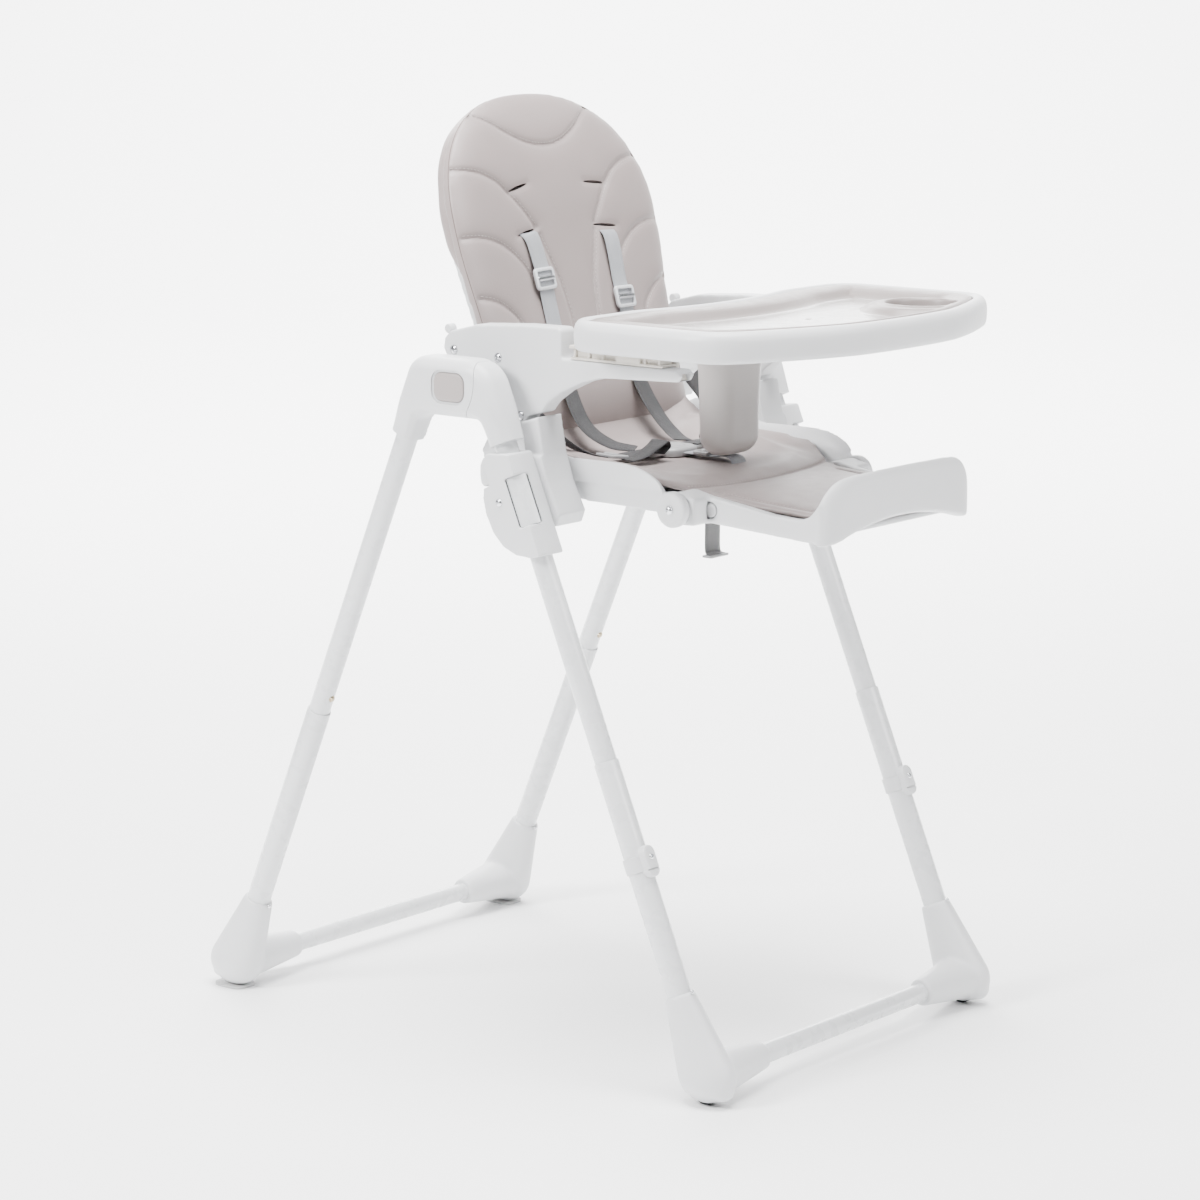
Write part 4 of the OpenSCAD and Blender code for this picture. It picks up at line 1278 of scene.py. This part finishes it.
def make_back_band():
    """The side of the cover with its hem behind; it narrows to nothing at its lower ends."""
    path = back_path(0.158, 5 * MM)
    outer = [(-7.0, 6.0), (-3.4, 6.6), (-1.6, 9.0), (-0.5, 12), (0.0, 15.5), (-0.3, 18.6), (-1.4, 19.2),
             (-0.9, 20.6), (-1.0, 24), (-1.8, 28), (-3.2, 31), (-5.0, 33.2), (-7.5, 34.4), (-12, 34.9),
             (-22, 35.1), (-22.6, 34.3), (-21.8, 33.5)]
    inner = [(-10, 33.2), (-7.4, 32.4), (-5.6, 30.6), (-4.8, 27), (-4.2, 22), (-4.0, 17), (-4.6, 12),
             (-7.4, 8)]
    rings = []
    for (x, s), (nx, ns) in zip(path, sideways(path)):
        share = 0.08 + 0.92 * float(smoothstep(0.160, 0.245, s))
        pull = 1 - share
        wrinkle = 0.5 * math.sin(46 * x + 60 * s) + 0.35 * math.sin(117 * s + 31 * x)
        ring = []
        for k, (off, deep) in enumerate([*outer, *inner]):
            soft = wrinkle if 3 < k < 13 else 0
            off = (off + soft * share) * MM - 2 * MM * pull * (off > -3)
            if deep > 30 and off < -5 * MM:
                off = -5 * MM + (off + 5 * MM) * share
            ring.append((x + nx * off, (9 + (deep - 9) * share) * MM, s + ns * off))
        rings.append(ring)
    band = smooth(bend_back(loft("back_band", rings)), 50)
    dress(band, "faux_leather", "backrest")


def make_piping():
    """A dark piping cord between the front of the cover and its side band, up to both shoulders; its
    near-black colour is also painted shade for the gap in the seam.
    """
    path = back_path(0.070, 4 * MM)
    turns = np.radians(np.linspace(0, 360, 8, endpoint=False))
    section = [(1.6 * MM + 0.8 * MM * math.cos(a), 9.2 * MM + 0.8 * MM * math.sin(a)) for a in turns]
    cords = []
    for side in SIDES.values():
        rings = []
        for (x, s), (nx, ns) in zip(path, sideways(path)):
            if side * x > 0.06:
                rings.append([(x + nx * off, deep, s + ns * off) for off, deep in section])
        cords.append(loft("cord", rings))
    dress(smooth(bend_back(join("back_piping", cords)), 60), "faux_leather", "backrest", [], "piping")


SEAT_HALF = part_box("seat_cushion")[1].x + 0.5 * MM
PAD_FRONT = -0.380
REST_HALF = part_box("footrest_cushion")[1].x
# (y, z) along the middle of the seat, (y, rise) of its sides above it, and (y, half width)
SEAT_PROFILE = [(-0.3800, 0.6385), (-0.345, 0.6395), (-0.291, 0.6425), (-0.217, 0.6485), (-0.190, 0.6525),
                (-0.160, 0.6550), (-0.100, 0.6555), (-0.025, 0.6575), (0.000, 0.663), (0.018, 0.679),
                (0.034, 0.700)]
SEAT_RISE = [(-0.217, 0), (-0.180, 0.006), (-0.157, 0.012), (-0.12, 0.0185), (-0.08, 0.0195),
             (0.0, 0.026), (0.034, 0.02)]
SEAT_WIDTH = [(PAD_FRONT, REST_HALF), (-0.235, REST_HALF), (-0.205, REST_HALF + 0.004), (-0.165, SEAT_HALF),
              (0.034, SEAT_HALF - 0.004)]


def seat_skin(x, y):
    """Height of the seat's cover: a dish between the bucket's sides that opens on to the footrest."""
    share = float(smoothstep(0.55, 1.0, abs(x) / seat_half(y)))
    return along(SEAT_PROFILE, y) + along(SEAT_RISE, y) * share ** 1.3


def seat_half(y):
    return along(SEAT_WIDTH, y)


def make_seat_pad():
    """One cover over seat and footrest, with a sewn seam across it at the hinge."""
    rings = []
    across = np.sin(np.linspace(-1, 1, 49) * math.pi / 2)
    for y in np.linspace(0.034, PAD_FRONT, 92):
        half = seat_half(y)
        ring = [(u * half, y, seat_skin(u * half, y)) for u in across]
        for u in across[::-1]:
            ring.append((u * half, y, seat_skin(u * half, y) - 0.0135 * max(0.62, 1 - abs(u) ** 6)))
        rings.append(ring)
    pad = loft("seat_pad", rings)
    modify(pad, "REMESH", mode="VOXEL", voxel_size=4.6 * MM)
    apply(pad)
    modify(pad, "SMOOTH", factor=0.5, iterations=4)
    apply(pad)
    hem_seat = [(x, -0.205 - 0.012 * (1 - (x / REST_HALF) ** 2))
                for x in np.linspace(-REST_HALF, REST_HALF, 90)]
    hem_x, hem_y = REST_HALF - 0.017, PAD_FRONT + 0.019
    rest = [(hem_x, y) for y in np.linspace(-0.235, hem_y, 40)]
    front = [(x, hem_y) for x in np.linspace(hem_x, -hem_x, 80)]
    seams = [np.array(hem_seat), np.array([*rest, *front, *[(-x, y) for x, y in rest[::-1]]])]
    sewing = np.vstack([resampled(line, 2 * MM) for line in seams])
    p = read(pad)
    top = p[:, 2] > np.array([seat_skin(x, y) for x, y in p[:, :2]]) - 6 * MM
    side = np.abs(p[:, 0]) > 0.93 * np.array([seat_half(y) for y in p[:, 1]])
    held = ~top | (nearest(p[:, :2], sewing) < 4 * MM) | side
    inflate(pad, held, 5 * MM)
    refined(pad)
    p = read(pad)
    top = p[:, 2] > np.array([seat_skin(x, y) for x, y in p[:, :2]]) - 4 * MM
    near = np.where(top, nearest(p[:, :2], sewing), 1)
    write(pad, sewn(p, near, np.array([0, 0, -1.0]), 2.0 * MM, 3.0 * MM))
    dress(pad, "faux_leather", None, ["seat_cushion", "footrest_cushion"])
    lines = [np.array(hem_seat) + (0, 0.003), np.array([(x * 0.975, y) for x, y in seams[1]])]
    threads = stitching("seat_stitches", lines, pad, lambda q: Vector((q[0], q[1], 0.66)), UP)
    dress(threads, "faux_leather", None, [], "thread")
    for piece in (pad, threads):
        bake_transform(piece)
    return pad


# ---- harness ----

def webbing(name, points, faces_out, width=0.025, thick=1.5 * MM):
    """A flat strap along a smooth line; faces_out are the ways its face looks at the points."""
    data = flowing([[*p, *f] for p, f in zip(points, faces_out)], 5 * MM)
    line, facing = data[:, :3], data[:, 3:]
    way = np.gradient(line, axis=0)
    top = [(-0.97, 0.75), (-0.5, 1), (0, 1), (0.5, 1), (0.97, 0.75)]
    section = [(-1, 0), *top, (1, 0), *[(a, -b) for a, b in top[::-1]]]
    rings = []
    for p, t, f in zip(line, way, facing):
        across = np.cross(t, f)
        across /= np.linalg.norm(across)
        normal = np.cross(across, t)
        normal /= np.linalg.norm(normal)
        rings.append([p + across * a * width / 2 + normal * b * thick / 2 for a, b in section])
    obj = loft(name, rings)
    layer = obj.data.uv_layers.new(name="strap")
    count = len(section)
    lengths = np.concatenate([[0], np.cumsum(np.linalg.norm(np.diff(line, axis=0), axis=1))])
    for loop in obj.data.loops:
        ring, k = divmod(loop.vertex_index, count)
        layer.data[loop.index].uv = (section[k][0] * width / 2, lengths[ring])
    return smooth(obj, 60)


def slider(name, centre, way, out, width=0.034, height=0.026, thick=4 * MM):
    """A slide: a rounded frame, and the round bar across its window."""
    outer = rounded_rect(width, height, 5 * MM, 5)
    edge = thick / 2 - 0.7 * MM
    body = stacked(name, outer, ((-thick / 2, 0.94), (-edge, 1), (edge, 1), (thick / 2, 0.94)))
    window = rounded_rect(width - 8 * MM, height - 8 * MM, 2 * MM, 4)
    cut(body, stacked("hole", window, ((-0.01, 1), (0.01, 1))))
    apply(round_edges(body, 0.5 * MM, 2, 40))
    end = width / 2 - 3 * MM
    lip = 0.3 * MM
    profile = [(0, 2.4 * MM), (lip, 2.9 * MM), (2 * end - lip, 2.9 * MM), (2 * end, 2.4 * MM)]
    cross = turned(profile, (-end, 0, thick * 0.16), (1, 0, 0), name + "_bar", steps=24)
    out, way = Vector(out).normalized(), Vector(way)
    way = (way - out * way.dot(out)).normalized()
    turn = Matrix((way.cross(out), way, out)).transposed().to_4x4()
    for obj in (body, cross):
        obj.data.transform(Matrix.Translation(centre) @ turn)
        smooth(obj, 40)
    return body, cross


def fit_slider(body, where, replaces, look="slide", **place):
    border, cross = slider(body, **place)
    dress(border, "grey_plastic", where, replaces, look)
    dress(cross, "steel", where, [], "satin_steel" if look == "slide" else "grey_plastic")


# Below this height the shoulder straps take the near-black seat webbing: painted shade for the shadow in the
# seat under the tray
SHADE_PAINTED_BELOW = 0.778


def make_shoulder_straps(pad):
    """From the lower slits down the back, through the slides, to the buckle."""
    pad_tree = BVHTree.FromObject(pad, bpy.context.evaluated_depsgraph_get())
    out = ON_BACK.to_3x3() @ Vector((0, -1, 0))

    def on_pad(x, s, lift):
        spot = ON_BACK @ Vector((x, 0, s))
        return (pad_tree.ray_cast(spot + out * 0.05, -out, 0.1)[0] or spot) + out * lift

    for side, sign in SIDES.items():
        near = sign < 0
        top_x, mid_x, low_x = (0.071, 0.066, 0.0645) if near else (0.069, 0.0685, 0.068)
        slide_s = 0.183 if near else 0.151
        slot = ON_BACK @ Vector((sign * top_x, 0.006, 0.2395))
        # (x, place along the backrest, height over the cover)
        down = [(top_x, 0.2365, 2.2), ((top_x + mid_x) / 2, 0.226, 3.0), (mid_x, slide_s + 0.018, 3.5),
                ((mid_x + low_x) / 2, slide_s, 4.5), (low_x, slide_s - 0.030, 2.5), (low_x, 0.090, 2.5),
                (0.064, 0.052, 3.5)]
        seated = [(0.066, -0.006, 0.6950), (0.058, -0.036, 0.6755), (0.044, -0.062, 0.6705)]
        points = [slot, *[on_pad(sign * x, s, lift * MM) for x, s, lift in down],
                  *[Vector((sign * x, y, z)) for x, y, z in seated]]
        outs = [out] * 8 + [Vector((0, -0.8, 0.7)), Vector((0, -0.5, 0.9)), Vector((0, -0.2, 1))]
        strap = webbing(f"shoulder_strap_{side}", points, outs)
        dress(strap, "webbing", None, ["shoulder_straps"])
        # One grey-blue strap; its faces low in the seat get the near-black webbing as painted shade
        strap.data.materials.append(MATERIALS["seat_webbing"])
        for face in strap.data.polygons:
            face.material_index = int(face.center.z < SHADE_PAINTED_BELOW)
        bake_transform(strap)
        centre = on_pad(sign * (mid_x + low_x) / 2, slide_s, 5.2 * MM)
        way = points[3] - points[5]
        fit_slider(f"strap_slide_{side}", "backrest", ["strap_adjusters"], centre=centre, way=way, out=out)


def make_seat_straps():
    """Hip straps with their slides, a spare loop on each side, and the crotch strap."""
    hip = [(0.154, 0.010, 0.7300), (0.151, -0.012, 0.7120), (0.143, -0.036, 0.6900), (0.124, -0.056, 0.6740),
           (0.096, -0.070, 0.6680), (0.062, -0.076, 0.6690), (0.034, -0.078, 0.6695)]
    hip_outs = [(-1, -0.3, 0.2), (-1, -0.3, 0.5), (-0.8, -0.2, 0.8), (-0.3, 0, 1), UP, UP, UP]
    spare = [(0.100, -0.095, 0.6670), (0.082, -0.099, 0.6700), (0.060, -0.101, 0.6790),
             (0.046, -0.100, 0.6840), (0.040, -0.099, 0.6770), (0.052, -0.099, 0.6700)]
    spare_outs = [UP, UP, UP, (-0.5, 0, 1), (-1, 0, -0.2), (0, 0, -1)]
    for side, sign in SIDES.items():
        def placed(spots):
            return [Vector((sign * x, y, z)) for x, y, z in spots]

        points = placed(hip)
        strap = webbing(f"hip_strap_{side}", points, placed(hip_outs))
        # Hip straps and loops: dark grey webbing whose near-black colour also holds painted shade
        dress(strap, "webbing", "seat", ["hip_straps"], "seat_webbing")
        fit_slider(f"hip_slide_{side}", "seat", [], "grey_plastic", centre=points[4] + UP * 1.2 * MM,
                   way=points[5] - points[3], out=Vector((-0.12 * sign, 0, 1)))
        loop = webbing(f"strap_loop_{side}", placed(spare), placed(spare_outs), 0.022)
        dress(loop, "webbing", "seat", [], "seat_webbing")
    crotch = [(0.003, -0.094, 0.6660), (0.004, -0.118, 0.6655), (0.006, -0.142, 0.6650),
              (0.007, -0.158, 0.6665), (0.007, -0.168, 0.6640), (0.006, -0.172, 0.6560)]
    strap = webbing("crotch_webbing", crotch, [UP, UP, UP, UP, (0, -0.7, 0.7), (0, -1, 0.1)])
    dress(strap, "webbing", "seat", ["crotch_strap"])
    fit_slider("crotch_slide", "seat", [], "grey_plastic", centre=Vector((0.005, -0.128, 0.6680)),
               way=Vector((0, -1, 0)), out=UP, height=0.022)


def make_buckle():
    """The five-point buckle: a round press button in a shell, with two tongues on each side."""
    place = Vector((0, -0.079, 0.6610))
    shell = rounded_rect(0.054, 0.050, 0.017)
    body = stacked("shell", shell, ((0, 0.94), (1 * MM, 1), (7.4 * MM, 1), (9.2 * MM, 0.96),
                                    (10.6 * MM, 0.86), (11.1 * MM, 0.74)))
    groove = turned([(9.6 * MM, 0.0150), (12 * MM, 0.0150)], (0, 0, 0), (0, 0, 1), steps=48)
    core = turned([(8 * MM, 0.0142), (12 * MM, 0.0142)], (0, 0, 0), (0, 0, 1), steps=48)
    cut(groove, core)
    cut(body, groove)
    cut(body, hull("dish", ball((0, 0, 0.0255), (0.0165, 0.0165, 0.0150), 14)))
    parts = [apply(round_edges(body, 0.4 * MM, 2, 45))]
    for sign in (-1, 1):
        for y in (0.009, -0.006):
            tongue = rounded_rect(0.034, 0.013, 3 * MM, 5)
            layers = ((3 * MM, 0.93), (3.6 * MM, 1), (6.6 * MM, 1), (7.2 * MM, 0.93))
            piece = stacked("tongue", tongue, layers, (sign * 0.036, y))
            slot = rounded_rect(0.005, 0.009, 1 * MM, 4)
            cut(piece, stacked("slot", slot, ((0, 1), (0.01, 1)), (sign * 0.046, y)))
            parts.append(piece)
    buckle = join("harness_clasp", parts)
    buckle.data.transform(Matrix.Translation(place))
    dress(smooth(buckle, 40), "grey_plastic", "seat", ["harness_buckle"])


def make_tail():
    """The end of the crotch strap that hangs under the seat, with its keeper."""
    y = -0.139
    out = Vector((0, -1, 0))
    hanging = [(0, y, z) for z in (0.634, 0.610, 0.585, 0.560)]
    tail = webbing("tail_strap", [*hanging, (0, y - 2 * MM, 0.5535), (0, y - 8 * MM, 0.5520)],
                   [out] * 4 + [(0, -1, 0.6), (0, -0.2, 1)], 0.028)
    dress(tail, "webbing", "seat", ["strap_tail"], "grey_webbing")
    layers = ((0.5495, 0.94), (0.5500, 1), (0.5518, 1), (0.5523, 0.94))
    keeper = stacked("tail_keeper", rounded_rect(0.034, 0.013, 1.5 * MM, 4), layers, (0, y - 4.5 * MM))
    dress(smooth(keeper, 40), "grey_plastic", "seat")


# ---- building the scene ----

make_stage()
dress_frame()
make_front_shoes()
make_rear_shoes()
make_leg_details()
make_elbows()
make_carriers()
make_side_panels()
make_seat_screws()
make_bucket()
make_footrest()
make_tray()
make_liner()
make_post()
make_runners()
make_back_shell()
back_pad = make_back_pad()
make_seat_pad()
make_shoulder_straps(back_pad)
make_seat_straps()
make_buckle()
make_tail()
